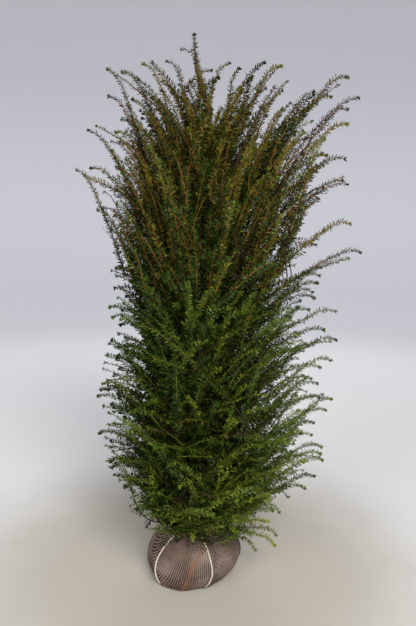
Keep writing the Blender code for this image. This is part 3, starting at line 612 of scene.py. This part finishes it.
def plan_shoots():
    """All main shoots: lines, lengths, lengths that carry needles, and layers."""
    rows = np.array(LEADERS, float)
    n = len(rows)
    depth = RNG.uniform(-0.11, 0.07, n)
    depth[rows[:, 1] < 0.32] = -0.10
    depth[(rows[:, 1] < 0.32) & (rows[:, 0] < 0)] = 0.05
    tips = [along_view(np.stack([rows[:, 0], np.zeros(n), rows[:, 1]], axis=1), depth)]
    azimuth = [np.where(rows[:, 0] > -0.03, 0.0, math.pi) + RNG.normal(0, 0.16, n)]
    rise = [np.radians(rows[:, 2] + np.where(rows[:, 0] < 0, 14, 8) * (rows[:, 1] > 1.6))]
    length = [rows[:, 3]]
    nod = [np.radians(RNG.uniform(44, 62, n))]
    layer = [np.full(n, OUTLINE)]
    for kind in (SKIN, MIDDLE, INNER):
        n = COUNTS[kind]
        i = np.arange(n)
        z = 0.31 + 1.85 * (i + 0.5) / n + RNG.normal(0, 0.02, n)
        a = (i * 2.399963 + 0.7 * kind + RNG.normal(0, 0.10, n)) % TAU
        far = body_reach(a, z) * RNG.uniform(*SHARES[kind], n)
        tips.append(np.stack([far * np.cos(a), far * np.sin(a), z], axis=1))
        loose = np.clip(1.5 - z, 0.25, 1.0)          # the lower crown is the wilder
        fan = np.arctan2(np.sin(a), 1.5 * np.cos(a))  # shoots lean to the sides more than to the front
        azimuth.append(fan + np.clip(RNG.normal(0, 0.22 + 0.24 * loose, n), -0.8, 0.8))
        length.append(LENGTHS[kind] * RNG.uniform(0.72, 1.25, n))
        steep = course(STEEPNESS, z)[:, 0] + np.clip(RNG.normal(0, 7 + 9 * loose, n), -26, 26)
        rise.append(np.minimum(np.radians(steep), np.arcsin(np.clip((z - 0.30) / length[-1], 0.02, 0.97))))
        nod.append(np.radians(RNG.uniform(8, 44, n)) * np.clip(z - 0.1, 0.3, 1))
        layer.append(np.full(n, kind))
    # the lowest shoots hang over the ball, least at the front left
    n = COUNTS[HEM]
    a = (np.arange(n) * 2.399963 + 1.1) % TAU
    bare = np.clip(np.cos(a - math.radians(228)), 0, 1)
    hang = np.clip(np.cos(a + 1.25), 0, 1) ** 2        # and hangs over the ball in front
    z = 0.280 + 0.16 * bare - 0.045 * hang + RNG.uniform(0, 0.10, n)
    far = body_reach(a, z) * np.sqrt(RNG.uniform(0.10, 0.66, n))
    far = np.maximum(far, hang * (ball_radius(a, np.clip(z, 0, GROUND_Z - 0.004)) + 0.020))
    tips.append(np.stack([far * np.cos(a), far * np.sin(a), z], axis=1))
    azimuth.append(a + RNG.normal(0, 0.4, n))
    rise.append(np.radians(RNG.normal(2, 12, n) - 16 * hang))
    length.append(LENGTHS[HEM] * RNG.uniform(0.6, 1.2, n))
    nod.append(np.radians(RNG.uniform(8, 30, n)))
    layer.append(np.full(n, HEM))
    n = COUNTS[TOP]
    i = np.arange(n)
    a = (i * 2.399963 + 0.4) % TAU
    share = np.sqrt((i + 0.5) / n)
    x = share * np.where(np.cos(a) > 0, 0.52, 0.30) * np.cos(a)
    y = share * np.where(np.sin(a) > 0, 0.32, 0.36) * np.sin(a)
    z = 2.31 - 0.16 * share**2 * np.abs(np.sin(a)) - RNG.uniform(0.0, 0.14, n)
    tips.append(np.stack([x, y, z], axis=1))
    azimuth.append(a)
    rise.append(np.radians(82 - 26 * share + RNG.normal(0, 5, n)))
    length.append(LENGTHS[TOP] * RNG.uniform(0.8, 1.2, n))
    nod.append(np.radians(RNG.uniform(14, 34, n)))
    layer.append(np.full(n, TOP))
    tips, azimuth, rise, length, nod, layer = map(np.concatenate, (tips, azimuth, rise, length, nod, layer))
    lines, total = grow(tips, azimuth, rise, length, nod, np.clip(RNG.normal(0, 0.28, len(tips)), -0.6, 0.6))
    # shoots whose way to the limb bulges out of the crown are left out
    flat = np.hypot(lines[..., 0], lines[..., 1]) / body_reach(np.arctan2(lines[..., 1], lines[..., 0]), lines[..., 2])
    joint = np.linspace(0, 1, POINTS)[None] < 1 - 0.8 * (length / total)[:, None]
    bulge = np.max(np.where(joint, flat, 0), axis=1)
    good = bulge < 1.02
    lines, total, length, layer = lines[good], total[good], length[good], layer[good]
    bearing = np.minimum(length + 0.08, total)
    # the last stretch of every limb, and the leader, carry needles as well
    ends = []
    for name, line in LIMBS:
        u = (np.linspace(0.28, 0.55, POINTS) if name == "skirt" else np.linspace(0.50, 0.95, POINTS)) * (len(line) - 1)
        ends.append(np.stack([np.interp(u, np.arange(len(line)), line[:, k]) for k in range(3)], axis=1))
    ends.append(trunk_axis(np.linspace(2.08, 2.474, POINTS)))
    ends, end_total = resample(np.array(ends), POINTS)
    return (np.concatenate([lines, ends]), np.concatenate([total, end_total]),
            np.concatenate([bearing, end_total]),
            np.concatenate([layer, np.full(len(ends) - 1, SKIN), [OUTLINE]]))


def spray_normals(lines):
    """The side of each flat spray that looks to the sky, turned a little about its shoot."""
    n = len(lines)
    _, way = on_line(lines, np.arange(n), np.full(n, 0.75))
    up = unit(UP - way * way[:, 2:])
    side = np.cross(way, up)
    roll = RNG.normal(0, 0.6, n)
    return unit(up * np.cos(roll)[:, None] + side * np.sin(roll)[:, None])


def narrow(lines, layer):
    """The shoots that stay slim plumes: the outline, the top, and the skin above and on the right."""
    tip = lines[:, -1]
    way = tip[:, 0] / np.hypot(tip[:, 0], tip[:, 1])
    return (layer == OUTLINE) | (layer == TOP) | ((layer == SKIN) & ((tip[:, 2] > 1.45) | (way > 0.45)))


def branch(lines, total, bearing, layer, normals):
    """Side shoots of every main shoot: lines, lengths, parents and distances from the parents' tips."""
    n = len(lines)
    fine = narrow(lines, layer)
    bare = np.where(fine, RNG.uniform(0.09, 0.14, n), RNG.uniform(0.11, 0.20, n))
    bare[-1] = 0.045                              # the leader
    bare = np.where((layer == MIDDLE) | (layer == INNER) | (layer == HEM), RNG.uniform(0.04, 0.07, n), bare)
    bare = np.minimum(bare, 0.5 * bearing)
    gap = np.where(fine, 0.021, np.where(layer == SKIN, 0.023, 0.026))
    count = np.maximum(((bearing - bare) / gap).astype(int), 2)
    parent = np.repeat(np.arange(n), count)
    order = np.arange(len(parent)) - (np.cumsum(count) - count)[parent]
    dist = bare[parent] + (bearing - bare)[parent] * (order + RNG.uniform(0.25, 0.75, len(parent))) / count[parent]
    at, way = on_line(lines, parent, 1 - dist / total[parent])
    nrm = normals[parent]
    nrm = unit(nrm - way * np.sum(nrm * way, axis=1, keepdims=True))
    side = np.cross(way, nrm)
    sign = np.where(order % 2 == 0, 1.0, -1.0)
    lift = RNG.normal(0.0, np.where(fine, 0.75, 0.55)[parent])
    out = unit(side * (sign * np.cos(lift))[:, None] + nrm * np.sin(lift)[:, None])
    opening = np.radians(RNG.uniform(30, 50, len(parent)))[:, None]
    d = way * np.cos(opening) + out * np.sin(opening)
    top = np.where(fine, 0.062, np.where(layer == SKIN, 0.088, 0.085))[parent]
    rate = np.where(fine, 0.16, 0.30)[parent]
    size = np.minimum(0.016 + rate * (dist - bare[parent]), top) * RNG.uniform(0.55, 1.25, len(parent))
    size = (size * (1 - 0.25 * np.clip(out[:, 2], -1, 1)))[:, None]
    curve = np.stack([at, at + 0.36 * size * d, at + 0.70 * size * unit(d + 0.25 * way),
                      at + size * unit(d + 0.55 * way - 0.12 * UP)], axis=1)
    return bezier(curve, np.linspace(0, 1, 5)), size[:, 0], parent, dist


def needles_on(lines, total, start, normals, per_metre, flat, long, short, tip_zone, tuft):
    """Needles along shoots and in a tuft at each tip: feet, directions, the way each is wide,
    lengths, and the shoot that each stands on."""
    n = len(lines)
    count = np.maximum((total * (1 - start) * per_metre).astype(int), 2)
    shoot = np.repeat(np.arange(n), count)
    order = np.arange(len(shoot)) - (np.cumsum(count) - count)[shoot]
    u = start[shoot] + (1 - start[shoot]) * ((order + RNG.uniform(0.15, 0.85, len(shoot))) / count[shoot]) ** 0.85
    tips = np.repeat(np.arange(n), tuft)
    shoot = np.concatenate([shoot, tips])
    u = np.concatenate([u, RNG.uniform(0.985, 1.0, len(tips))])
    order = np.concatenate([order, np.arange(len(tips))])
    crowded = np.arange(len(shoot)) >= len(shoot) - len(tips)
    at, way = on_line(lines, shoot, u)
    nrm = normals[shoot]
    nrm = unit(nrm - way * np.sum(nrm * way, axis=1, keepdims=True))
    side = np.cross(way, nrm)
    even = order % 2 == 0
    around = np.where(flat[shoot] & ~crowded, np.where(even, 0.0, math.pi) + np.where(even, 1, -1) * RNG.normal(0.25, 0.33, len(shoot)),
                      order * 2.399963 + RNG.normal(0, 0.3, len(shoot)))
    out = side * np.cos(around)[:, None] + nrm * np.sin(around)[:, None]
    near = np.clip(1 - (1 - u) * total[shoot] / tip_zone, 0, 1)
    lean = np.radians(np.where(crowded, RNG.uniform(8, 66, len(shoot)), 60 - 16 * near + RNG.normal(0, 8, len(shoot))))[:, None]
    d = unit(way * np.cos(lean) + out * np.sin(lean))
    size = (long[shoot] + (short - long)[shoot] * near**0.7) * RNG.uniform(0.82, 1.12, len(shoot))
    wide = unit(np.cross(d, out * 0.25 + nrm * 0.75 + RNG.normal(0, 0.25, (len(shoot), 3))))
    return at, d, wide, size, shoot


def needle_mesh(at, d, wide, size, broad, plain):
    """Needles of three faces: narrow foot, broad middle, point. Plain ones have two: a long kite."""
    half = (NEEDLE_WIDE / 2 * broad * (0.72 + 0.28 * size / 0.025))[:, None]
    droop = np.cross(d, wide)
    droop = droop * np.where(droop[:, 2:] > 0, -1.0, 1.0)
    s = size[:, None]
    foot = at + d * 0.0006
    mid = at + d * s * (0.46 if plain else 0.60) + droop * s * 0.010
    tip = at + d * s + droop * s * 0.075
    if plain:
        verts = np.stack([foot, mid - wide * half * 1.12, mid + wide * half * 1.12, tip], axis=1).reshape(-1, 3)
        kite = np.array([[0, 2, 1], [1, 2, 3]])
    else:
        verts = np.stack([foot - wide * half * 0.42, foot + wide * half * 0.42,
                          mid - wide * half, mid + wide * half, tip], axis=1).reshape(-1, 3)
        kite = np.array([[0, 1, 3], [0, 3, 2], [2, 3, 4]])
    base = (np.arange(len(at)) * (4 if plain else 5))[:, None, None]
    return verts, (base + kite[None]).reshape(-1, 3)


# ---------------------------------------------------------------- pieces
def add(piece, slot, *nodes):
    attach(piece, "root")
    if nodes:
        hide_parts(*nodes)
    return piece


def named(*starts):
    return [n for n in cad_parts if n.startswith(starts)]


def build_net():
    """The ball's netting: a ribbed sheet laid under the ball and drawn up to the neck, so its
    ribs run up the ball in front and behind and round it on the sides."""
    around, rows = 330, 140
    azimuth = np.arange(around) * TAU / around
    t = np.linspace(0, 1, rows)
    z = GROUND_Z * (1 - np.cos(math.pi * (0.035 + 0.965 * t))) / 2
    z = z - z[0]
    z = z / z[-1] * GROUND_Z
    A, Z = np.meshgrid(azimuth, z)
    r = ball_radius(A, np.clip(Z, 0, GROUND_Z - 1e-5))
    r = np.where(Z > GROUND_Z - 1e-4, BALL_SEAT_R, r)
    r = r - 0.009 * np.clip(1 - Z / 0.012, 0, 1) ** 2
    step = np.hypot(np.diff(r, axis=0), np.diff(Z, axis=0))
    s = r[:1] + np.concatenate([np.zeros((1, around)), np.cumsum(step, axis=0)])
    warp = 0.010 * np.sin(3 * A + 11 * s) + 0.006 * np.sin(7 * A - 23 * s + 1.3)
    pull = 0.548 * np.sqrt(s)                     # the ribs draw together underneath
    side = np.cos(A - RIB_TURN)                   # and open out less where they run round the sides
    across = pull * np.cos(A - RIB_TURN + warp) + 0.32 * (s - 0.20) * side * np.abs(side) ** 3
    down = pull * np.sin(A - RIB_TURN + warp)
    ribs = across / RIB_GAP
    # ribs stand proud, pleats gather towards the neck, and the soil behind bulges the sheet
    proud = 0.0014 * np.cos(TAU * ribs) * (0.7 + 0.3 * np.sin(9 * A + 17 * s))
    neck = np.clip((Z - 0.19) / 0.08, 0, 1)
    pleat = 0.0048 * neck * np.cos(21 * A + 2.0 * np.sin(3 * A)) + 0.0020 * np.sin(11 * A + 9 * s) * (1 - neck)
    lumps = 0.0034 * np.sin(4 * A + 13 * s + 0.6) * np.sin(3 * A - 21 * s) + 0.0018 * np.sin(13 * A + 30 * s)
    fade = np.clip(Z / 0.015, 0, 1) * np.clip((GROUND_Z - Z) / 0.004, 0, 1)
    lift = (proud + pleat + lumps) * fade
    slope_r, slope_z = np.gradient(r, axis=0), np.gradient(Z, axis=0)
    size = np.hypot(slope_r, slope_z)
    R, H = r + slope_z / size * lift, Z - slope_r / size * lift
    H[0] = 0.0
    verts = np.stack([R * np.cos(A), R * np.sin(A), H], axis=-1)
    # the neck of the net closes on the root flare
    inner = []
    for k, (share, rise) in enumerate(((0.9, 0.004), (0.78, 0.009), (0.70, 0.018), (0.66, 0.029), (0.64, 0.036))):
        rr = BALL_SEAT_R * share * (1 + 0.05 * np.cos(21 * azimuth + 2.0 * np.sin(3 * azimuth)))
        top = GROUND_Z + rise + (0.003 * np.sin(17 * azimuth) if k == 4 else 0 * azimuth)
        inner.append(np.stack([rr * np.cos(azimuth), rr * np.sin(azimuth), top], axis=-1))
    verts = np.concatenate([verts, np.array(inner)])
    sheet = np.stack([across, down], axis=-1)
    extra = [sheet[-1] * (1 + 0.02 * (k + 1)) for k in range(5)]
    sheet = np.concatenate([sheet, np.array(extra)])
    total = len(verts)
    flat = np.concatenate([verts.reshape(-1, 3), [[0.0, 0.0, 0.0]]])
    uv = np.concatenate([sheet.reshape(-1, 2), [[0.0, 0.0]]])
    i = np.arange(around)
    j = (i + 1) % around
    k = np.arange(total - 1)[:, None]
    quads = np.stack([k * around + i, k * around + j, (k + 1) * around + j, (k + 1) * around + i], axis=-1).reshape(-1, 4)
    under = len(flat) - 1
    fan = np.stack([j, i, np.full(around, under)], axis=-1)
    faces = np.concatenate([quads[:, [0, 1, 2]], quads[:, [0, 2, 3]], fan])
    made = mesh_from("root_ball_net", flat, faces, net_material(), True, {"sheet": uv})
    return add(made, "netting", "root_ball")


def strand_line(start, middle, end, points=70):
    z = np.concatenate([[GROUND_Z + 0.0065], GROUND_Z - 0.004 - (GROUND_Z - 0.022) * (
        1 - np.cos(np.linspace(0.35, math.pi * 0.92, points))) / 2])
    u = np.linspace(0, 1, len(z))
    azimuth = np.radians(start * (1 - u) * (1 - 2 * u) + middle * 4 * u * (1 - u) + end * u * (2 * u - 1))
    r = ball_radius(azimuth, np.clip(z, 0, GROUND_Z - 1e-4))
    r[0] = COLLAR_R
    slope = np.gradient(np.stack([r, z], axis=1), axis=0)
    normal = unit(np.stack([-slope[:, 1], slope[:, 0]], axis=1))
    lift = np.full(len(z), CORD_R + 0.0012)
    lift[0] = 0
    out = np.stack([r * np.cos(azimuth), r * np.sin(azimuth), z], axis=1)
    out[:, 0] += lift * normal[:, 0] * np.cos(azimuth)
    out[:, 1] += lift * normal[:, 0] * np.sin(azimuth)
    out[:, 2] += lift * normal[:, 1]
    return out


def even(line, step):
    run = np.concatenate([[0], np.cumsum(np.linalg.norm(np.diff(line, axis=0), axis=1))])
    at = np.linspace(0, run[-1], max(int(run[-1] / step), 4))
    return np.stack([np.interp(at, run, line[:, k]) for k in range(3)], axis=1)


def build_cord():
    """Two-ply cord: a collar round the root flare and the strands that hold the net."""
    lines = [even(strand_line(*one), 0.0020) for one in STRANDS]
    turn = np.linspace(0, TAU, 181)[:-1]
    collar = np.stack([COLLAR_R * np.cos(turn), COLLAR_R * np.sin(turn), np.full(180, GROUND_Z + 0.0062)], axis=1)
    verts, faces, total = [], [], 0
    for closed, line in [(False, l) for l in lines] + [(True, collar)]:
        tangent = unit(np.gradient(line, axis=0))
        side = unit(np.cross(tangent, np.concatenate([line[:, :2], np.zeros((len(line), 1))], axis=1) + 0.2 * UP))
        up = np.cross(side, tangent)
        run = np.concatenate([[0], np.cumsum(np.linalg.norm(np.diff(line, axis=0), axis=1))])
        turns = run / 0.016 * TAU
        if closed:
            turns = np.linspace(0, TAU * 22, len(line) + 1)[:-1]
        for ply in (0, math.pi):
            offset = (np.cos(turns + ply)[:, None] * side + np.sin(turns + ply)[:, None] * up) * CORD_R * 0.50
            path = line + offset
            if closed:
                path = np.concatenate([path, path[:1]])
            v, f = tubes(path[None], np.full((1, len(path)), CORD_R * 0.56), 6)
            verts.append(v)
            faces.append(f + total)
            total += len(v)
    made = mesh_from("tie_cord_twisted", np.concatenate(verts), np.concatenate(faces), cord_material())
    return add(made, "tie_cord", "tie_cord")


def build_trunk(bark):
    """The stem, with flaking plates and shallow ribs in its surface."""
    rings, sides = 620, 28
    z = np.concatenate([np.linspace(GROUND_Z + 0.0006, 0.45, 120), np.linspace(0.4525, TRUNK_TIP_Z, rings - 120)])
    axis = trunk_axis(z)
    tangent = unit(np.gradient(axis, axis=0))
    turn = np.arange(sides) * TAU / sides
    T, Z = np.meshgrid(turn, z)
    flare = np.exp(-(Z - GROUND_Z) / FLARE_DROP)
    r = trunk_radius(Z) * (1 + 0.13 * flare * np.cos(5 * T + 0.8))
    ribs = (0.040 * np.sin(3 * T + 5 * Z + 0.5) + 0.030 * np.sin(5 * T - 9 * Z)
            + 0.026 * np.sin(8 * T + 70 * Z) * np.sin(3 * T - 46 * Z + 1.1)
            + 0.022 * np.sin(11 * T - 130 * Z + 2 * np.sin(20 * Z)))
    r = r * (1 + ribs)
    east = unit(np.array([1.0, 0, 0]) - tangent * tangent[:, :1])
    north = np.cross(tangent, east)
    verts = axis[:, None] + r[..., None] * (np.cos(T)[..., None] * east[:, None] + np.sin(T)[..., None] * north[:, None])
    verts[0, :, 2] = z[0]
    i = np.arange(sides)
    j = (i + 1) % sides
    k = np.arange(rings - 1)[:, None]
    faces = np.stack([k * sides + i, k * sides + j, (k + 1) * sides + j, (k + 1) * sides + i], axis=-1).reshape(-1, 4)
    made = mesh_from("trunk_bark", verts.reshape(-1, 3), faces, bark)
    return add(made, "bark", "trunk")


def build_boughs(bark):
    lines, radii = [], []
    for name, line in LIMBS:
        u = np.linspace(0, 1, len(line))
        last = 0.52 if name == "skirt" else 0.93
        at = np.linspace(0.0, last, 44)
        path = np.stack([np.interp(at, u, line[:, k]) for k in range(3)], axis=1)
        axis = trunk_axis(path[:, 2])
        gap = np.hypot(path[:, 0] - axis[:, 0], path[:, 1] - axis[:, 1])
        # the foot starts inside the stem's wood and swells into a collar
        thick = {"spire": 0.0062, "fan": 0.0082, "skirt": 0.0070}.get(name, 0.0092)
        r = thick * (1 - at / last) ** 1.05 * 0.86 + 0.0013
        r = r * (1 + 0.45 * np.exp(-gap / 0.012))
        r = r * (1 + 0.05 * np.sin(40 * at + len(lines)) + 0.04 * np.sin(97 * at + 2 * len(lines)))
        path += 0.0020 * np.stack([np.sin(31 * at + len(lines)), np.cos(27 * at + 2 * len(lines)), np.zeros(len(at))], axis=1) * (at > 0.06)[:, None]
        lines.append(path)
        radii.append(r)
    verts, faces = tubes(np.array(lines), np.array(radii), 10)
    rough = np.sin(verts[:, 0] * 610 + 3 * np.sin(verts[:, 2] * 190)) * np.sin(verts[:, 1] * 570 + verts[:, 2] * 240)
    verts = verts + 0.00035 * rough[:, None] * unit(verts - np.repeat(np.array(lines).reshape(-1, 3), 10, axis=0))
    made = mesh_from("bough_bark", verts, faces, bark)
    return add(made, "bark", *named("bough_"))


def split_pieces(prefix, verts, faces, per_item_verts, per_item_faces, material, limit):
    """One or more objects, each under the limit of triangles."""
    items = len(faces) // per_item_faces
    parts = max(1, math.ceil(items * per_item_faces / limit))
    bounds = np.linspace(0, items, parts + 1).astype(int)
    made = []
    for p in range(parts):
        a, b = bounds[p], bounds[p + 1]
        v = verts[a * per_item_verts:b * per_item_verts]
        f = faces[a * per_item_faces:b * per_item_faces] - a * per_item_verts
        name = prefix if parts == 1 else f"{prefix}_{p + 1}"
        made.append(mesh_from(name, v, f, material, False))
    return made


def build_crown():
    lines, total, bearing, layer = plan_shoots()
    normals = spray_normals(lines)
    side, size, parent, dist = branch(lines, total, bearing, layer, normals)
    main_z, side_z = lines[:, -4, 2], side[:, 2, 2]
    # each main shoot has its own cast, which most of its side shoots share. Its number is pushed down on the lower
    # left, to darker kinds, as painted shade, and up on the right, to brighter kinds, as painted light on the side the
    # key lamp lights; the hem's is pushed up as well
    luck_and_side_light = RNG.random(len(lines))
    luck_and_side_light = luck_and_side_light * np.where((lines[:, -4, 0] < -0.04) & (main_z < 1.55) & (layer != OUTLINE), 0.74, 1.0)
    luck_and_side_light = np.where((lines[:, -4, 0] > 0.08) & (main_z < 2.0), 0.20 + 0.68 * luck_and_side_light, luck_and_side_light)
    luck_and_side_light = np.where((lines[:, -4, 0] > 0.10) & (main_z < 1.15), 0.29 + 0.69 * luck_and_side_light, luck_and_side_light)
    luck_and_side_light = np.where(layer == HEM, 0.18 + 0.74 * luck_and_side_light, luck_and_side_light)
    luck_and_side_light = luck_and_side_light * np.where((lines[:, -4, 0] < -0.20) & (main_z < 1.50) & (layer == OUTLINE), 0.70, 1.0)
    shown = (layer == OUTLINE) | (layer == TOP) | (layer == SKIN)
    shown = shown | (((layer == MIDDLE) | (layer == HEM)) & (RNG.random(len(layer)) < np.where(layer == HEM, 0.6, 0.3)))
    # the inner layer draws on the inside mix, with its painted shade
    kind_main = deal(main_z, np.where(layer == OUTLINE, 3, np.where(shown, 0, np.where(layer == INNER, 2, 1))), luck_and_side_light)
    own = RNG.random(len(parent))
    mixed = np.where(RNG.random(len(parent)) < 0.6, (luck_and_side_light[parent] + RNG.normal(0, 0.04, len(parent))) % 1.0, own)
    # side shoots far back from the tip mostly draw on the inside mix, with its painted shade
    old = (dist > 0.24) & (RNG.random(len(parent)) < 0.6)
    kind_side = deal(side_z, np.where(shown[parent] & ~old, np.where(dist < 0.20, np.where(own < 0.40, 0, 1), 1), 2), mixed)

    fine = narrow(lines, layer)
    outer = (layer == OUTLINE) | (layer == TOP)
    deep_in = (layer == MIDDLE) | (layer == INNER) | (layer == HEM)
    a = needles_on(lines, total, 1 - bearing / total, normals, np.where(outer, 400, np.where(fine, 290, np.where(deep_in, 180, 240))),
                   ~outer & (RNG.random(len(lines)) < 0.7), np.where(outer, 0.0190, 0.0230), np.where(outer, 0.0150, 0.0165), 0.060, np.where(outer, 12, 8))
    b = needles_on(side, size, np.full(len(side), 0.06), normals[parent], np.where(deep_in[parent], 140, 175),
                   RNG.random(len(side)) < 0.7, np.where(outer[parent], 0.0190, 0.0240), np.full(len(side), 0.0160), 0.030, np.full(len(side), 2))
    kind = np.concatenate([kind_main[a[4]], kind_side[b[4]]])
    shade = np.array([[KIND_NAMES.index(n) for n in SHADES[name]] for name in KIND_NAMES])
    turn = RNG.random(len(kind))
    kind = np.where(turn < 0.28, shade[kind, 0], np.where(turn > 0.90, shade[kind, 1], kind))
    inner = np.concatenate([deep_in[a[4]], deep_in[parent][b[4]]])
    simple = np.concatenate([deep_in[a[4]], np.full(len(b[4]), True)]) | np.isin(kind, [KIND_NAMES.index(n) for n in ("deep", "painted_shade", "brown", "sheen_grey")])
    outside = np.concatenate([outer[a[4]], outer[parent][b[4]]])
    broad = np.where(inner, 1.45, np.where(outside, 1.22, np.where(simple, 1.15, 1.0)))
    at, d, wide, long = (np.concatenate([x, y]) for x, y in zip(a[:4], b[:4]))
    broad = broad * np.where((at[:, 0] < -0.12) & (at[:, 2] > 0.35) & (at[:, 2] < 1.55), np.where(inner | simple, 1.35, 1.15), 1.0)
    keep = inside(at + d * long[:, None]) & inside(at)
    pieces = {}
    for k, name in enumerate(KIND_NAMES):
        material = needle_material("needles_" + name, *KINDS[name])
        pieces[name] = []
        for plain in (True, False):
            pick = keep & (kind == k) & (simple == plain)
            if not pick.any():
                continue
            v, f = needle_mesh(at[pick], d[pick], wide[pick], long[pick], broad[pick], plain)
            pieces[name] += split_pieces(("sprays_" if plain else "needles_") + name, v, f, 4 if plain else 5,
                                         2 if plain else 3, material, 190000)
    slots = {"deep": "foliage_low", "green": "foliage_low", "fresh": "foliage_middle", "lime": "foliage_middle",
             "olive": "foliage_top", "bronze": "foliage_top", "painted_shade": "foliage_top", "sheen_grey": "foliage_low", "brown": "bark"}
    owns = {"deep": named("skirt", "low_", "belly"), "green": named("waist", "middle"), "olive": named("shoulder", "leader"),
            "bronze": named("fan_", "spire")}
    for name, group in pieces.items():
        for k, piece in enumerate(group):
            add(piece, slots[name], *(owns.get(name, []) if k == 0 else []))

    # stems: the young end of each main shoot, the older wood that joins it to its limb, and the side shoots
    upper = main_z > 1.45
    young = np.minimum(bearing, np.where(upper, 0.26, 0.20) * RNG.uniform(0.75, 1.35, len(lines)))
    u = 1 - np.linspace(1, 0, 8) ** 1.2
    share = 1 - young[:, None] / total[:, None] * (1 - u[None])
    row = np.repeat(np.arange(len(lines)), len(u))
    line = on_line(lines, row, share.ravel())[0].reshape(len(lines), len(u), 3)
    thick = 0.0015 * (1 - u[None]) ** 0.7 * np.clip(total / 0.5, 0.6, 1.1)[:, None] + 0.0009
    for name, pick, light, dark in (("shoots_upper", upper, (0.245, 0.100, 0.014), (0.095, 0.044, 0.008)),
                                    ("shoots_lower", ~upper, (0.135, 0.140, 0.011), (0.058, 0.056, 0.008))):
        v, f = tubes(line[pick], thick[pick], 4)
        add(mesh_from(name, v, f, twig_material(name, light, dark)), "bark")
    old = total - young > 0.01
    u = np.linspace(0, 1, 8)
    share = (1 - young[old] / total[old])[:, None] * u[None]
    row = np.repeat(np.flatnonzero(old), len(u))
    line = on_line(lines, row, share.ravel())[0].reshape(-1, len(u), 3)
    thick = thick[old][:, :1] * (1.35 - 0.35 * u[None])
    v, f = tubes(line, thick, 3)
    add(mesh_from("old_wood", v, f, twig_material("old_wood", (0.044, 0.024, 0.011), (0.018, 0.012, 0.006))), "bark")
    upper = side_z > 1.45
    for name, pick, light, dark in (("twigs_upper", upper, (0.125, 0.056, 0.010), (0.055, 0.032, 0.008)),
                                    ("twigs_lower", ~upper, (0.080, 0.095, 0.010), (0.034, 0.034, 0.006))):
        for part, choice, step in (("long", pick & (size > 0.045), 2), ("short", pick & (size <= 0.045), 4)):
            path = side[choice][:, ::step]
            thin = np.broadcast_to(0.0011 * (1 - 0.45 * np.linspace(0, 1, path.shape[1])), path.shape[:2])
            v, f = tubes(path, thin, 3)
            add(mesh_from(name + "_" + part, v, f, twig_material(name + "_" + part, light, dark)), "bark")


def inside(points):
    """Needles that would pass through the ball, the ground or the allowed box are left out."""
    x, y, z = points.T
    half = np.where(z < BALL_EQUATOR, BALL_SAG, BALL_RISE)
    off_ball = (x / BALL_RX) ** 2 + (y / BALL_RY) ** 2 + ((z - BALL_EQUATOR) / half) ** 2 > 1.02
    lo, hi = np.array(CAD_BOX[0]), np.array(CAD_BOX[1])
    room = 0.03 * (hi - lo) + 0.008
    boxed = np.all((points > lo - room) & (points < hi + room), axis=1)
    return off_ball & boxed & (z > 0.012)


# ---------------------------------------------------------------- stage, light and camera
def build_stage():
    """A round studio: one floor that sweeps up into a backdrop on all sides."""
    radius, cove, height, around = 8.0, 2.2, 9.5, 96
    profile = [(0.001, 0.0), (0.6, 0.0), (1.2, 0.0), (2.4, 0.0), (4.0, 0.0), (radius - cove, 0.0)]
    for k in range(1, 17):
        a = math.pi / 2 * k / 16
        profile.append((radius - cove + cove * math.sin(a), cove - cove * math.cos(a)))
    profile.append((radius, height))
    turn = np.arange(around) * TAU / around
    verts = np.array([[(r * math.cos(t), r * math.sin(t), z) for t in turn] for r, z in profile])
    i = np.arange(around)
    j = (i + 1) % around
    k = np.arange(len(profile) - 1)[:, None]
    faces = np.stack([k * around + i, k * around + j, (k + 1) * around + j, (k + 1) * around + i], axis=-1).reshape(-1, 4)
    floor = mesh_from("studio_floor", verts.reshape(-1, 3) - np.array([0, 0, 0.0004]), faces, floor_material())


def area_light(name, at, aim, size, power, colour=(1, 1, 1)):
    data = bpy.data.lights.new(name, "AREA")
    data.shape, data.size, data.energy, data.color = "DISK", size, power, colour
    data.spread = math.radians(124)
    lamp = bpy.data.objects.new(name, data)
    lamp.location = at
    lamp.rotation_euler = (Vector(aim) - Vector(at)).to_track_quat("-Z", "Y").to_euler()
    bpy.context.scene.collection.objects.link(lamp)


def build_light():
    world = bpy.data.worlds.new("studio")
    world.use_nodes = True
    back = world.node_tree.nodes["Background"]
    back.inputs[0].default_value = (0.97, 0.98, 1.0, 1)
    back.inputs[1].default_value = 0.20
    bpy.context.scene.world = world
    area_light("key", (1.9, -6.3, 5.5), (0.05, 0, 1.3), 4.2, 368, (1.0, 0.99, 0.955))
    area_light("fill", (-4.2, -5.7, 4.0), (0.05, 0, 1.2), 3.6, 105, (1.0, 0.995, 0.975))
    area_light("rim", (0.4, 5.4, 5.6), (0, 0, 1.5), 3.6, 50, (1.0, 0.99, 0.97))
    scene = bpy.context.scene
    scene.view_settings.view_transform = "Standard"
    scene.view_settings.look = "None"
    scene.view_settings.exposure = 0.0


def build_camera():
    data = bpy.data.cameras.new("camera")
    data.lens, data.sensor_width, data.sensor_fit = CAM_LENS, 36.0, "AUTO"
    data.clip_start, data.clip_end = 0.05, 60
    cam = bpy.data.objects.new("camera", data)
    bpy.context.scene.collection.objects.link(cam)
    back = Vector((0, -math.cos(CAM_PITCH), math.sin(CAM_PITCH)))
    up = Vector((0, math.sin(CAM_PITCH), math.cos(CAM_PITCH)))
    turn = Matrix((Vector((1, 0, 0)), up, back)).transposed().to_4x4()
    cam.matrix_world = Matrix.Translation(Vector(CAM_AT)) @ turn @ Matrix.Rotation(CAM_ROLL, 4, "Z")
    bpy.context.scene.camera = cam


build_camera()
build_net()
build_cord()
BARK = bark_material()
build_trunk(BARK)
build_boughs(BARK)
build_crown()
build_stage()
build_light()

bpy.context.view_layer.update()
